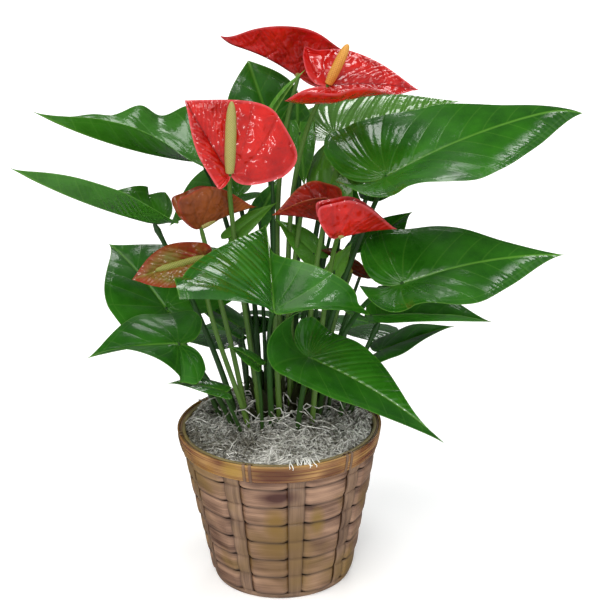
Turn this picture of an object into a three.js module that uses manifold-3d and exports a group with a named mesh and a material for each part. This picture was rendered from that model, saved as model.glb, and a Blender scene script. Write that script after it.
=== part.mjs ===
// A flowering anthurium in its nursery pot, set in a woven bamboo basket and dressed with moss.
// Millimetres and degrees, +Z up. The origin is the centre of the basket's underside; the front is -Y.
import * as THREE from 'three';
import { mergeVertices } from 'three/addons/utils/BufferGeometryUtils.js';
import Module from 'manifold-3d';

const wasm = await Module();
wasm.setup();

const clearance = 0.3;
const holeSlack = 0.4;

const basket = {
  baseRadius: 57.5,
  lean: 0.19,
  height: 135,
  innerDepth: 1.2,
  bottom: 3,
  footBevel: 2.5,
  firstRow: 5.3,
  rowHeight: 17.7,
  rows: 6,
  periods: 9,
  stakeAzimuth: 280,
  stakeHalf: 6,
  stakeFace: 0.6,
  weaverFrom: 11,
  weaverTo: 29,
  weaverFace: 2.1,
  groove: 1.3,
  grooveWidth: 1.3,
  neckFace: 0,
};
const hoop = { height: 16, depth: 2, offset: 0.5, soft: 0.7, sides: 36 };
const innerHoop = { depth: 1.6, offset: 1.5, drop: 0.5 };
const tie = { pairs: 6, azimuth: 252, width: 2.8, spread: 1.75, proud: 0.7, overlap: 0.1 };
const pot = {
  bottom: 3.3, height: 112, baseRadius: 46, topRadius: 71, wall: 1.2, lip: 2, lipHeight: 6, sides: 22,
};
const soil = { top: 112, holeDepth: 16 };
const moss = {
  bottom: 112.3, footRadius: 72, radius: 75.3, rim: 9, dome: 14, lumps: 1.6, rings: 3, sectors: 22,
};
const stem = {
  petiole: 2.9, thin: 2.3, stalk: 2.5, sides: 6, steps: 5, pull: 0.36, push: 0.3, lean: 0.45,
};
const blade = { leaf: 1.1, spathe: 1 };

const colours = {
  bamboo: '#9c765a',
  hoop: '#a8763f',
  plastic: '#2b2f2a',
  soil: '#3a2c22',
  moss: '#8d8c84',
  leaf: '#1f5a1b',
  young: '#4c8a2c',
  scarlet: '#c8161d',
  crimson: '#8f1a1c',
  bronze: '#84401f',
  stalk: '#5f8a35',
  spadix: '#a9ad3c',
  orange: '#d98a3c',
};

const group = new THREE.Group();

function addMesh(name, geometry, colour, roughness) {
  const material = new THREE.MeshStandardMaterial({ color: colour, roughness, metalness: 0 });
  const mesh = new THREE.Mesh(geometry, material);
  mesh.name = name;
  group.add(mesh);
}

function closed(geometry) {
  const bare = geometry.clone();
  bare.deleteAttribute('normal');
  bare.deleteAttribute('uv');
  return mergeVertices(bare, 1e-4);
}

function toSolid(geometry) {
  const merged = closed(geometry);
  return new wasm.Manifold(new wasm.Mesh({
    numProp: 3,
    vertProperties: new Float32Array(merged.getAttribute('position').array),
    triVerts: new Uint32Array(merged.getIndex().array),
  }));
}

function fromSolid(solid) {
  const mesh = solid.getMesh();
  const geometry = new THREE.BufferGeometry();
  geometry.setAttribute('position', new THREE.BufferAttribute(mesh.vertProperties, 3));
  geometry.setIndex(new THREE.BufferAttribute(mesh.triVerts, 1));
  return geometry;
}

// The largest body of a cut, without the crumbs that a cut can leave.
function largest(solid) {
  const bodies = solid.decompose();
  return bodies.reduce((a, b) => (b.volume() > a.volume() ? b : a));
}

const lerp = (a, b, t) => a + (b - a) * t;
const vec = (p) => new THREE.Vector3(...p);
const radians = THREE.MathUtils.degToRad;
const both = (value) => (Array.isArray(value) ? value : [value, value]);

// A smooth path from a foot in the soil to a joint: upright at the foot, arriving along `arrive`.
function stemPath(foot, joint, arrive, upright) {
  const start = new THREE.Vector3(foot[0], foot[1], soil.top - soil.holeDepth + clearance);
  const reach = joint.clone().sub(start);
  const up = new THREE.Vector3(0, 0, 1);
  const away = reach.clone().normalize().lerp(up, upright).normalize();
  const first = start.clone().addScaledVector(away, reach.length() * stem.pull);
  const last = joint.clone().addScaledVector(arrive, -reach.length() * stem.push);
  return new THREE.CubicBezierCurve3(start, first, last, joint);
}

function tube(path, radius, sides = stem.sides, steps = stem.steps) {
  const section = new THREE.Shape();
  for (let i = 0; i < sides; i++) {
    const a = (i / sides) * Math.PI * 2;
    const point = [radius * Math.cos(a), radius * Math.sin(a)];
    if (i === 0) section.moveTo(...point);
    else section.lineTo(...point);
  }
  return new THREE.ExtrudeGeometry(section, { steps, extrudePath: path, bevelEnabled: false });
}

// Half-widths of a heart-shaped blade at x, from 0 at the back of its lobes to 1 at its tip, both as
// shares of the blade's own half-width: the notch between the lobes, and the margin.
function heartOutline(x, lobe, rear, widest, point) {
  const notchEnd = lobe / (1 + lobe);
  const arch = Math.sin(Math.PI * x ** (Math.log(0.5) / Math.log(widest)));
  let margin = x > 0 && x < 1 ? Math.max(arch, 0) ** (0.6 + (point - 0.6) * x) : 0;
  if (x < widest) margin += rear * (1 - x / widest) ** 2;
  const notch = x < notchEnd ? rear * (1 - x / notchEnd) ** 3 : 0;
  return [Math.min(notch, margin), margin];
}

// How a blade is shaped unless its own entry says otherwise; a pair of values is for left and right.
// lobe: the back lobes' length as a share of the midrib; rear: their fullness; widest: where the blade
// is widest; point: how finely it runs to its tip; droop and curl: the midrib's bend; fold and foldTip:
// how far the halves stand up at the joint and at the tip; cup: the halves' hollow; roll: the blade
// turned about its midrib; lift and back: the lobes' rise and length.
const bladeDefaults = {
  lobe: 0.3, rear: 0.5, widest: 0.34, point: 1.35, droop: 20, curl: 0, fold: 12, foldTip: null,
  foldEase: 1, cup: 20, roll: 0, lift: 0, back: 1, wave: 0, waves: 2, phase: [1.9, 0], up: [0, 0, 1], rows: 6,
  lobeRows: 2, columns: 2, thick: blade.leaf,
};

// The bent blade's middle surface, as a function of a (lengths along the midrib, below 0 in the
// lobes), b (mm out from the midrib) and the side, -1 left and 1 right as seen looking to the tip.
function bladeSurface(settings) {
  const s = { ...bladeDefaults, ...settings };
  const joint = vec(s.joint);
  const chord = vec(s.tip).sub(joint);
  const along = chord.clone().normalize();
  const normal = vec(s.up).addScaledVector(along, -vec(s.up).dot(along)).normalize();
  const across = along.clone().cross(normal);
  const roll = radians(s.roll);
  const rolled = normal.clone().multiplyScalar(Math.cos(roll)).addScaledVector(across, Math.sin(roll));
  across.multiplyScalar(Math.cos(roll)).addScaledVector(normal, -Math.sin(roll));

  const slope = (a) => -radians(s.droop) * a - radians(s.curl) * Math.max(0, (a - 0.7) / 0.3) ** 2;
  const parts = 60;
  const run = [0];
  const rise = [0];
  for (let i = 0; i < parts; i++) {
    const angle = slope((i + 0.5) / parts);
    run.push(run[i] + Math.cos(angle) / parts);
    rise.push(rise[i] + Math.sin(angle) / parts);
  }
  const length = chord.length() / Math.hypot(run[parts], rise[parts]);
  const pitch = -Math.atan2(rise[parts], run[parts]);
  const forward = along.clone().multiplyScalar(Math.cos(pitch)).addScaledVector(rolled, Math.sin(pitch));
  const above = rolled.clone().multiplyScalar(Math.cos(pitch)).addScaledVector(along, -Math.sin(pitch));
  const sample = (list, a) => {
    const i = Math.min(Math.floor(a * parts), parts - 1);
    return lerp(list[i], list[i + 1], a * parts - i);
  };

  const half = both(s.width).map((w) => w / 2);
  const fold = both(s.fold);
  const foldTip = both(s.foldTip ?? s.fold);
  const [cup, lift, back, wave, rear, widest, point] =
    [s.cup, s.lift, s.back, s.wave, s.rear, s.widest, s.point].map(both);

  function at(a, b, side) {
    const i = side < 0 ? 0 : 1;
    const share = b / half[i];
    const lean = radians(lerp(fold[i], foldTip[i], Math.max(a, 0) ** s.foldEase) - cup[i] * share / 2);
    const out = b * Math.cos(lean) * side;
    const ripple = wave[i] * share ** 2 * Math.sin(2 * Math.PI * s.waves * a + s.phase[i]);
    const height = b * Math.sin(lean) + ripple;
    const place = joint.clone();
    const local = above.clone();
    if (a >= 0) {
      const angle = slope(a);
      place.addScaledVector(forward, sample(run, a) * length);
      place.addScaledVector(above, sample(rise, a) * length);
      local.multiplyScalar(Math.cos(angle)).addScaledVector(forward, -Math.sin(angle));
    } else {
      const angle = radians(lift[i]) * Math.min(1, -a / s.lobe) * 0.5;
      place.addScaledVector(forward, a * back[i] * length * Math.cos(angle));
      place.addScaledVector(above, -a * back[i] * length * Math.sin(angle));
      local.multiplyScalar(Math.cos(2 * angle)).addScaledVector(forward, Math.sin(2 * angle));
    }
    return place.addScaledVector(across, out).addScaledVector(local, height);
  }

  const edges = (x, side) => {
    const i = side < 0 ? 0 : 1;
    return heartOutline(x, s.lobe, rear[i], widest[i], point[i]).map((w) => w * half[i]);
  };
  return { s, at, edges, joint, above };
}

// A blade as one closed sheet: rows from the back of the lobes to the tip, columns out to the margin.
function bladeSolid(surface) {
  const { s, at, edges } = surface;
  const notchEnd = s.lobe / (1 + s.lobe);
  const stations = [];
  for (let i = 0; i < s.lobeRows; i++) stations.push(notchEnd * (i / s.lobeRows) ** 1.5);
  for (let i = 0; i <= s.rows; i++) stations.push(lerp(notchEnd, 1, i / s.rows));

  const points = [];
  const keys = new Map();
  const vertex = (p) => {
    const key = [p.x, p.y, p.z].map((c) => c.toFixed(3)).join();
    if (!keys.has(key)) {
      keys.set(key, points.length);
      points.push(p);
    }
    return keys.get(key);
  };
  const top = [];
  for (const side of [-1, 1]) {
    const rows = stations.map((x, row) => {
      const a = row === s.lobeRows ? 0 : x * (1 + s.lobe) - s.lobe;
      const [notch, margin] = edges(x, side);
      const inner = a < 0 ? notch : 0;
      const line = [];
      for (let j = 0; j <= s.columns; j++) line.push(vertex(at(a, lerp(inner, margin, j / s.columns), side)));
      return line;
    });
    for (let i = 0; i + 1 < rows.length; i++) {
      for (let j = 0; j < s.columns; j++) {
        const [p, q, r, t] = [rows[i][j], rows[i + 1][j], rows[i + 1][j + 1], rows[i][j + 1]];
        for (const face of [[p, q, r], [p, r, t]]) {
          if (new Set(face).size < 3) continue;
          top.push(side < 0 ? face : [face[0], face[2], face[1]]);
        }
      }
    }
  }

  const normals = points.map(() => new THREE.Vector3());
  for (const [i, j, k] of top) {
    const n = points[j].clone().sub(points[i]).cross(points[k].clone().sub(points[i]));
    for (const v of [i, j, k]) normals[v].add(n);
  }
  const count = points.length;
  const all = points.map((p, i) => p.clone().addScaledVector(normals[i].normalize(), s.thick / 2));
  points.forEach((p, i) => all.push(p.clone().addScaledVector(normals[i], -s.thick / 2)));
  const faces = [...top, ...top.map(([i, j, k]) => [i + count, k + count, j + count])];
  const paired = new Set(top.flatMap(([i, j, k]) => [`${i},${j}`, `${j},${k}`, `${k},${i}`]));
  for (const edge of paired) {
    const [i, j] = edge.split(',').map(Number);
    if (!paired.has(`${j},${i}`)) faces.push([j, i, i + count], [j, i + count, j + count]);
  }
  const geometry = new THREE.BufferGeometry();
  geometry.setAttribute('position', new THREE.Float32BufferAttribute(all.flatMap((p) => [p.x, p.y, p.z]), 3));
  geometry.setIndex(faces.flat());
  return toSolid(geometry);
}

const big = { rows: 7, lobeRows: 2, columns: 3 };
const small = { rows: 4, lobeRows: 1, stem: stem.thin };

// Each leaf: where its stem leaves the soil, where the stem meets the blade, and the blade's tip.
const leaves = {
  leaf_upper_right: {
    ...big, foot: [14, -4], joint: [91, -10, 353], tip: [251, 30, 390], width: 120, lobe: 0.32,
    droop: 20, curl: 25, fold: [36, 14], foldTip: [0, -50], cup: 10, lift: 60, wave: 2,
    point: [1.1, 0.95],
  },
  leaf_upper_right_back: {
    rows: 7, foot: [9, 12], joint: [52, 62, 364], tip: [158, 112, 380], width: 112, droop: 14,
    fold: [16, -6], roll: 4, lift: [40, -70], back: [1, 1.7],
  },
  leaf_middle_right: {
    ...big, foot: [27, 2], joint: [101, -60, 280], tip: [229, -45, 296], width: 108, lobe: 0.32,
    droop: 22, fold: [38, 8], foldTip: [5, -45], cup: 10, lift: 60, wave: 2, arrive: [0.7, -0.65, 0.31],
    upright: 0.8,
  },
  leaf_under_right: {
    foot: [39, -4], joint: [84, 4, 222], tip: [176, -6, 225], width: 76, lobe: 0.2, droop: 8,
    fold: [40, 40], lift: 50,
  },
  leaf_low_right: {
    foot: [44, 5], joint: [86, 16, 192], tip: [147, 11, 215], width: 56, lobe: 0.15, droop: 10,
    fold: 12,
  },
  leaf_front_right: {
    ...big, foot: [12, -16], joint: [26, -52, 215], tip: [129, -115, 168], width: [70, 93], lobe: 0.3,
    rear: [0.5, 0.3], widest: [0.34, 0.36], point: [2.6, 1], back: [0.85, 1.6], droop: 22,
    fold: [24, 10], cup: 10, lift: [70, 200],
  },
  leaf_front: {
    ...big, foot: [-6, -10], joint: [-1, -88, 271], tip: [-6, -22, 319], width: [150, 130], lobe: 0.14,
    widest: [0.24, 0.16], point: [1.3, 5], fold: [50, 29], foldTip: [20, 80], cup: 50, lift: [100, 40],
    droop: 24, arrive: [0.15, -0.72, 0.65],
  },
  leaf_upper_left: {
    ...big, foot: [-14, 3], joint: [-56, 16, 360], tip: [-187, -4, 410], width: [90, 116], droop: -22,
    lobe: 0.28, fold: [12, 34], foldTip: [84, 20], cup: 10, lift: 60, wave: [0, 5], waves: 3.2,
  },
  leaf_left: {
    ...big, foot: [-27, 0], joint: [-97, 4, 312], tip: [-203, -40, 375], width: [88, 74], droop: -14,
    lobe: 0.14, back: [1, 1.7], fold: [24, 16], foldTip: [78, 10], foldEase: 1.6, cup: 10,
    lift: [70, 130], wave: [3, 14], waves: 1, phase: [0, 1.57],
  },
  leaf_left_inner: {
    foot: [-14, 22], joint: [-30, 50, 320], tip: [-88, 46, 296], width: [48, 84], fold: [10, 38],
    widest: 0.42,
  },
  leaf_round_left: {
    ...big, foot: [-39, 8], joint: [-92, 8, 238], tip: [-140, 58, 277], width: [98, 130], lobe: 0.28,
    fold: [12, 24],
  },
  leaf_low_left: {
    foot: [-27, -8], joint: [-79, -48, 228], tip: [-149, -73, 228], width: [62, 88], lobe: 0.4,
    fold: [-45, 24], foldTip: [45, 24], foldEase: 0.5, columns: 3, lift: [-30, 30],
    arrive: [-0.4, -0.6, 0.7],
  },
  leaf_inner_left: {
    ...small, foot: [-28, 24], joint: [-32, 30, 210], tip: [-80, 34, 237], width: 48, lobe: 0.1,
  },
  leaf_base_left: {
    ...small, foot: [-24, -14], joint: [-44, -49, 186.5], tip: [-88, -52, 196], width: 31, lobe: 0.15,
  },
  leaf_small_centre: {
    ...small, foot: [-14, -20], joint: [-18, -36, 206], tip: [-40, -30, 218], width: 22,
  },
  leaf_top_back: {
    foot: [0, 18], joint: [-4, 60, 383], tip: [-19, 75, 428], width: 60, lobe: 0.3, up: [0, -1, 0.4],
    widest: 0.42, point: 1,
  },
  leaf_young: {
    ...small, foot: [-7, 9], joint: [-3, 15, 390], tip: [27, 20, 433], width: 14, lobe: 0.1, fold: 50,
    colour: 'young',
  },
  leaf_hanging: {
    ...small, foot: [19, 17], joint: [57, 36, 326], tip: [75, 51, 290], width: 34,
    up: [-0.6, -0.6, 0.4],
  },
  leaf_right_back: { ...small, foot: [28, 24], joint: [80, 40, 277], tip: [116, 70, 296], width: 46 },
  leaf_small_right: {
    ...small, foot: [38, 10], joint: [60, 12, 227], tip: [84, 22, 212], width: 24, lobe: 0.1,
  },
  leaf_left_back: { ...small, foot: [-12, 43], joint: [-30, 62, 246], tip: [-60, 80, 266], width: 36 },
  leaf_back_low_left: {
    foot: [-24, 36], joint: [-34, 66, 190], tip: [-88, 118, 166], width: 84, droop: 30,
  },
  leaf_back_low_right: {
    foot: [27, 32], joint: [58, 74, 188], tip: [100, 128, 166], width: 78, lobe: 0.2, droop: 30,
  },
  leaf_back_centre: {
    foot: [3, 30], joint: [4, 72, 204], tip: [8, 138, 166], width: 72, lobe: 0.2, droop: 30,
  },
  leaf_back_right: { foot: [16, 27], joint: [82, 80, 322], tip: [158, 132, 330], width: 86, droop: 25 },
};

// Each bloom: its stalk's foot, the joint of stalk, spathe and spadix, the spathe's tip and the spadix.
const blooms = {
  bloom_top_left: {
    foot: [3, 7], joint: [22, 45, 421], tip: [-39, 25, 461], width: 84, lobe: 0.42, fold: [75, 25],
    point: [1.1, 1.35], back: [1.25, 1], droop: 26, curl: -40, colour: 'scarlet',
    spadix: { length: 36, radius: 3.4, toward: [-0.5, 0.4, 0.8] },
  },
  bloom_top_right: {
    foot: [8, 0], joint: [45, 0, 425], tip: [118, 15, 416], width: 78, lobe: 0.34, back: [1, 1.5],
    roll: 10, fold: [32, -50], foldTip: [32, -20], cup: [20, -130], lift: [50, 20],
    arrive: [0.5, -0.2, 0.85], colour: 'scarlet',
    spadix: { length: 36, radius: 4, toward: [0.45, 0, 0.9], colour: 'orange' },
  },
  bloom_left: {
    foot: [-13, -6], joint: [-33, -45, 368], tip: [-66, -35, 425], width: [30, 112], lobe: 0.25,
    back: [0.3, 1.5], rear: 0.6, widest: [0.4, 0.42], point: [1.2, 1], fold: [40, 0], up: [0, -1, 0.2],
    colour: 'scarlet', spadix: { length: 60, radius: 4.4, toward: [0.06, -0.1, 1] },
  },
  bloom_bronze: {
    foot: [-22, -8], joint: [-58, -23, 317], tip: [-14, -8, 329], width: 66, lobe: 0.2, fold: [25, 60],
    cup: -40, colour: 'bronze', spadix: { length: 24, radius: 3, toward: [0.8, 0.4, 0.4] },
  },
  bloom_bud_left: {
    foot: [-18, -17], joint: [-54, -46, 299.5], tip: [-111, -66, 290.5], width: [54, 36], lobe: 0.1,
    fold: 25, rear: 0.35, widest: 0.48, point: 1.1, cup: -20, up: [0, -0.8, 0.6], colour: 'crimson',
    spadix: { length: 42, radius: 4, toward: [-0.95, -0.35, -0.1] },
  },
  bloom_cupped: {
    foot: [19, 5], joint: [40, -13, 316.7], tip: [-1, -29, 328.7], width: 64, lobe: 0.3, fold: [58, 68],
    colour: 'crimson', spadix: { length: 24, radius: 3, toward: [-0.8, 0, 0.6] },
  },
  bloom_bright: {
    foot: [24, -16], joint: [50, -46, 314], tip: [97, -41, 319], width: 60, lobe: 0.2, fold: [50, 60],
    cup: -40, arrive: [0.1, -0.75, 0.6], colour: 'scarlet',
    spadix: { length: 22, radius: 3, toward: [0.8, 0.4, 0.4] },
  },
  bloom_bud_right: {
    foot: [28, 14], joint: [62, 18, 262], tip: [36, 8, 286], width: 36, fold: 40, colour: 'crimson',
    spadix: { length: 24, radius: 3.4, toward: [-0.4, -0.3, 0.8] },
  },
};

// What stands in the soil, for the holes in soil and moss.
const stems = [];

function leaf(name, settings) {
  const surface = bladeSurface(settings);
  const outward = surface.joint.clone().setZ(0).normalize().multiplyScalar(stem.lean);
  const arrive = settings.arrive ? vec(settings.arrive) : outward.add(new THREE.Vector3(0, 0, 1));
  const path = stemPath(settings.foot, surface.joint, arrive.normalize(), settings.upright ?? 0.5);
  const radius = settings.stem ?? stem.petiole;
  stems.push([path, radius]);
  const solid = bladeSolid(surface).add(toSolid(tube(path, radius)));
  addMesh(name, fromSolid(largest(solid)), colours[settings.colour ?? 'leaf'], 0.3);
}

function bloom(name, settings) {
  const surface = bladeSurface({ thick: blade.spathe, rear: 0.6, rows: 5, ...settings });
  const axis = vec(settings.spadix.toward).normalize();
  const seat = surface.joint.clone().addScaledVector(surface.above, blade.spathe / 2);
  const below = surface.above.clone().lerp(new THREE.Vector3(0, 0, 1), 0.5).normalize();
  const path = stemPath(settings.foot, seat, settings.arrive ? vec(settings.arrive).normalize() : below, 0.5);
  stems.push([path, stem.stalk]);
  const stalk = tube(path, stem.stalk);
  const base = seat.clone().addScaledVector(axis, clearance);
  const spadix = spadixShape(settings.spadix, base, axis);
  const fatStalk = toSolid(tube(path, stem.stalk + clearance));
  const fatSpadix = toSolid(spadixShape(settings.spadix, base, axis, clearance));
  const spathe = bladeSolid(surface).subtract(fatStalk).subtract(fatSpadix);
  addMesh(`${name}_spathe`, fromSolid(largest(spathe)), colours[settings.colour], 0.25);
  addMesh(`${name}_spadix`, fromSolid(largest(toSolid(spadix).subtract(fatStalk))),
    colours[settings.spadix.colour ?? 'spadix'], 0.6);
  addMesh(`${name}_stalk`, closed(stalk), colours.stalk, 0.4);
}

// A spadix is a stout finger with a rounded end, narrowed a little where it starts.
function spadixShape({ length, radius }, base, axis, extra = 0) {
  const profile = [[0, 0], [0.72, 0], [1, 0.3], [0.86, 0.75], [0.5, 0.95], [0, 1]];
  const points = profile.map(([r, h]) => new THREE.Vector2(
    r > 0 ? r * radius + extra : 0, h * length + (h > 0.5 ? extra : -extra)));
  const geometry = new THREE.LatheGeometry(points, 8);
  geometry.rotateX(Math.PI / 2);
  const turn = new THREE.Quaternion().setFromUnitVectors(new THREE.Vector3(0, 0, 1), axis);
  geometry.applyQuaternion(turn);
  return geometry.translate(base.x, base.y, base.z);
}

const wallRadius = (z) => basket.baseRadius + basket.lean * z;

// A solid of revolution from a closed profile of [radius, height] pairs.
function turned(profile, sides) {
  const points = profile.map(([r, z]) => new THREE.Vector2(r, z));
  return closed(new THREE.LatheGeometry(points, sides).rotateX(Math.PI / 2));
}

// The woven wall: flat upright stakes with weavers that bow out between them, a groove between rows.
function weave() {
  const { stakeHalf, weaverFrom, weaverTo } = basket;
  const azimuths = [];
  for (let i = 0; i < basket.periods; i++) {
    const start = basket.stakeAzimuth + (i * 360) / basket.periods;
    azimuths.push([start - stakeHalf, false], [start + stakeHalf, false]);
    azimuths.push([start + weaverFrom, true], [start + weaverTo, true]);
  }
  const levels = [[basket.footBevel, 0]];
  for (let row = 0; row <= basket.rows; row++) {
    const z = basket.firstRow + row * basket.rowHeight;
    levels.push([z, 1], [z + basket.grooveWidth, 0]);
    if (row < basket.rows) levels.push([z + basket.rowHeight - basket.grooveWidth, 0]);
  }
  levels.push([basket.height - hoop.height - 1, 0]);

  const points = [];
  const ring = (radiusAt, z) => {
    const start = points.length / 3;
    for (const [azimuth, over] of azimuths) {
      const r = radiusAt(over);
      points.push(r * Math.cos(radians(azimuth)), r * Math.sin(radians(azimuth)), z);
    }
    return start;
  };
  const plain = (depth, z) => ring(() => wallRadius(z) + depth, z);
  const rings = [plain(-basket.footBevel, 0)];
  for (const [z, groove] of levels) {
    rings.push(ring((over) => {
      const face = over ? basket.weaverFace - groove * basket.groove : basket.stakeFace;
      return wallRadius(z) + face;
    }, z));
  }
  const brim = basket.height - 1;
  rings.push(plain(basket.neckFace, basket.height - hoop.height), plain(basket.neckFace, brim));
  rings.push(plain(-basket.innerDepth, brim), plain(-basket.innerDepth, basket.bottom));
  const faces = [];
  const n = azimuths.length;
  for (let k = 0; k + 1 < rings.length; k++) {
    for (let i = 0; i < n; i++) {
      const j = (i + 1) % n;
      const [a, b, c, d] = [rings[k] + i, rings[k] + j, rings[k + 1] + j, rings[k + 1] + i];
      faces.push(a, b, c, a, c, d);
    }
  }
  const centres = [points.length / 3, points.length / 3 + 1];
  points.push(0, 0, 0, 0, 0, basket.bottom);
  for (let i = 0; i < n; i++) {
    const j = (i + 1) % n;
    const last = rings[rings.length - 1];
    faces.push(centres[0], rings[0] + j, rings[0] + i, centres[1], last + i, last + j);
  }
  const geometry = new THREE.BufferGeometry();
  geometry.setAttribute('position', new THREE.Float32BufferAttribute(points, 3));
  geometry.setIndex(faces);
  return geometry;
}

// A flat bamboo hoop that follows the wall's lean, from `inner` to `inner + depth` off the wall line.
function hoopRing(inner, depth, top) {
  const bottom = top - hoop.height;
  const { soft } = hoop;
  return turned([
    [wallRadius(bottom) + inner, bottom],
    [wallRadius(bottom) + inner + depth - soft, bottom],
    [wallRadius(bottom) + inner + depth, bottom + soft],
    [wallRadius(top) + inner + depth, top - soft],
    [wallRadius(top) + inner + depth - soft, top],
    [wallRadius(top) + inner, top],
    [wallRadius(bottom) + inner, bottom],
  ], hoop.sides);
}

// The outer hoop with its binding ties, each a pair of narrow strips round the hoop's face.
function outerHoop() {
  let solid = toSolid(hoopRing(hoop.offset, hoop.depth, basket.height));
  const middle = basket.height - hoop.height / 2;
  const depth = hoop.depth + tie.proud;
  for (let i = 0; i < tie.pairs; i++) {
    for (const side of [-1, 1]) {
      const strip = new THREE.BoxGeometry(depth, tie.width, hoop.height);
      strip.rotateY(Math.atan(basket.lean));
      strip.translate(wallRadius(middle) + hoop.offset + depth / 2 + tie.overlap, 0, middle);
      strip.rotateZ(radians(tie.azimuth + (i * 360) / tie.pairs + side * tie.spread));
      solid = solid.add(toSolid(strip));
    }
  }
  return fromSolid(solid);
}

function nurseryPot() {
  const { bottom, height, baseRadius, topRadius, wall, lip, lipHeight, sides } = pot;
  return turned([
    [0, bottom], [baseRadius, bottom], [topRadius, height - lipHeight], [topRadius + lip, height - lipHeight],
    [topRadius + lip, height], [topRadius + lip - wall, height], [baseRadius - wall, bottom + wall],
    [0, bottom + wall],
  ], sides);
}

// A hole for each stem: the stem itself a little fatter, set down by the clearance.
function stemHoles() {
  return stems.map(([path, radius]) =>
    toSolid(tube(path, radius + holeSlack).translate(0, 0, -clearance)));
}

// The root ball fills the pot to its brim, clear of the pot's wall.
function rootBall() {
  const { bottom, height, baseRadius, topRadius, wall, lip, sides } = pot;
  const low = bottom + wall + clearance;
  const slope = (topRadius + lip - baseRadius) / (height - bottom - wall);
  const radiusAt = (z) => baseRadius - wall - clearance + slope * (z - bottom - wall);
  const profile = [[0, low], [radiusAt(low) - 1, low], [radiusAt(soil.top), soil.top], [0, soil.top]];
  let solid = toSolid(turned(profile, sides));
  for (const hole of stemHoles()) solid = solid.subtract(hole);
  return fromSolid(largest(solid));
}

// The moss: a low, lumpy cushion that fills the basket's mouth.
function mossCushion() {
  const points = [[0, 0, moss.bottom + moss.dome + moss.rim]];
  const lump = (r, a) =>
    Math.sin(a * 5 + r * 0.11) * Math.cos(r * 0.19 - a * 3) + 0.6 * Math.sin(a * 11 + r * 0.3);
  const azimuth = (i, ring) => ((i + (ring % 2) / 2) / moss.sectors) * Math.PI * 2;
  for (let k = 1; k <= moss.rings; k++) {
    const share = k / moss.rings;
    for (let i = 0; i < moss.sectors; i++) {
      const a = azimuth(i, k);
      const r = moss.radius * share;
      const z = moss.bottom + moss.rim + moss.dome * (1 - share ** 2) + moss.lumps * lump(r, a);
      points.push([r * Math.cos(a), r * Math.sin(a), z]);
    }
  }
  const rim = points.length - moss.sectors;
  const low = points.length;
  for (let i = 0; i < moss.sectors; i++) {
    const a = azimuth(i, moss.rings);
    points.push([moss.footRadius * Math.cos(a), moss.footRadius * Math.sin(a), moss.bottom]);
  }
  const foot = points.length;
  points.push([0, 0, moss.bottom]);
  const faces = [];
  const n = moss.sectors;
  for (let i = 0; i < n; i++) {
    const j = (i + 1) % n;
    faces.push([0, 1 + i, 1 + j]);
    for (let k = 1; k < moss.rings; k++) {
      const [a, b] = [1 + (k - 1) * n, 1 + k * n];
      if (k % 2) faces.push([a + i, b + i, a + j], [a + j, b + i, b + j]);
      else faces.push([a + i, b + i, b + j], [a + i, b + j, a + j]);
    }
    faces.push([rim + i, low + i, low + j], [rim + i, low + j, rim + j], [foot, low + j, low + i]);
  }
  const geometry = new THREE.BufferGeometry();
  geometry.setAttribute('position', new THREE.Float32BufferAttribute(points.flat(), 3));
  geometry.setIndex(faces.flat());
  let solid = toSolid(geometry);
  for (const hole of stemHoles()) solid = solid.subtract(hole);
  return fromSolid(largest(solid));
}

for (const [name, settings] of Object.entries(leaves)) leaf(name, settings);
for (const [name, settings] of Object.entries(blooms)) bloom(name, settings);
addMesh('basket_weave', weave(), colours.bamboo, 0.6);
addMesh('basket_rim_outer', outerHoop(), colours.hoop, 0.4);
const innerOffset = -basket.innerDepth - innerHoop.offset - innerHoop.depth;
const innerTop = basket.height - innerHoop.drop;
addMesh('basket_rim_inner', hoopRing(innerOffset, innerHoop.depth, innerTop), colours.hoop, 0.5);
addMesh('nursery_pot', nurseryPot(), colours.plastic, 0.6);
addMesh('root_ball', rootBall(), colours.soil, 0.95);
addMesh('moss', mossCushion(), colours.moss, 0.95);

export default group;
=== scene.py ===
# A flowering anthurium in a woven bamboo basket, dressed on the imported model.
# Sizes are in mm until a mesh is filled, where they turn to metres. The front is -Y.
import math
import random
import bpy
import numpy as np
from mathutils import Matrix, Vector


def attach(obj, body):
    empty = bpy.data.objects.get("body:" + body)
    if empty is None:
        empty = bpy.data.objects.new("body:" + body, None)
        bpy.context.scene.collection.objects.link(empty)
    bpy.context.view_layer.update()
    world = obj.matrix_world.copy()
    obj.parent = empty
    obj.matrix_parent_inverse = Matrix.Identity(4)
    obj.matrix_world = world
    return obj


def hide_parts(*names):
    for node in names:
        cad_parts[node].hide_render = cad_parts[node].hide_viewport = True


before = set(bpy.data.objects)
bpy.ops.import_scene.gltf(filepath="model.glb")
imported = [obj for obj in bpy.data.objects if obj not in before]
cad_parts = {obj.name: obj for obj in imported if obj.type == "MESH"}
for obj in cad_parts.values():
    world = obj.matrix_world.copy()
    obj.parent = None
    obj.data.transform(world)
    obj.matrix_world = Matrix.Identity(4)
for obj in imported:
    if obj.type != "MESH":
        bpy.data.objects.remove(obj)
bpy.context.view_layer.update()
mm = 0.001
print("frame loaded")

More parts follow.
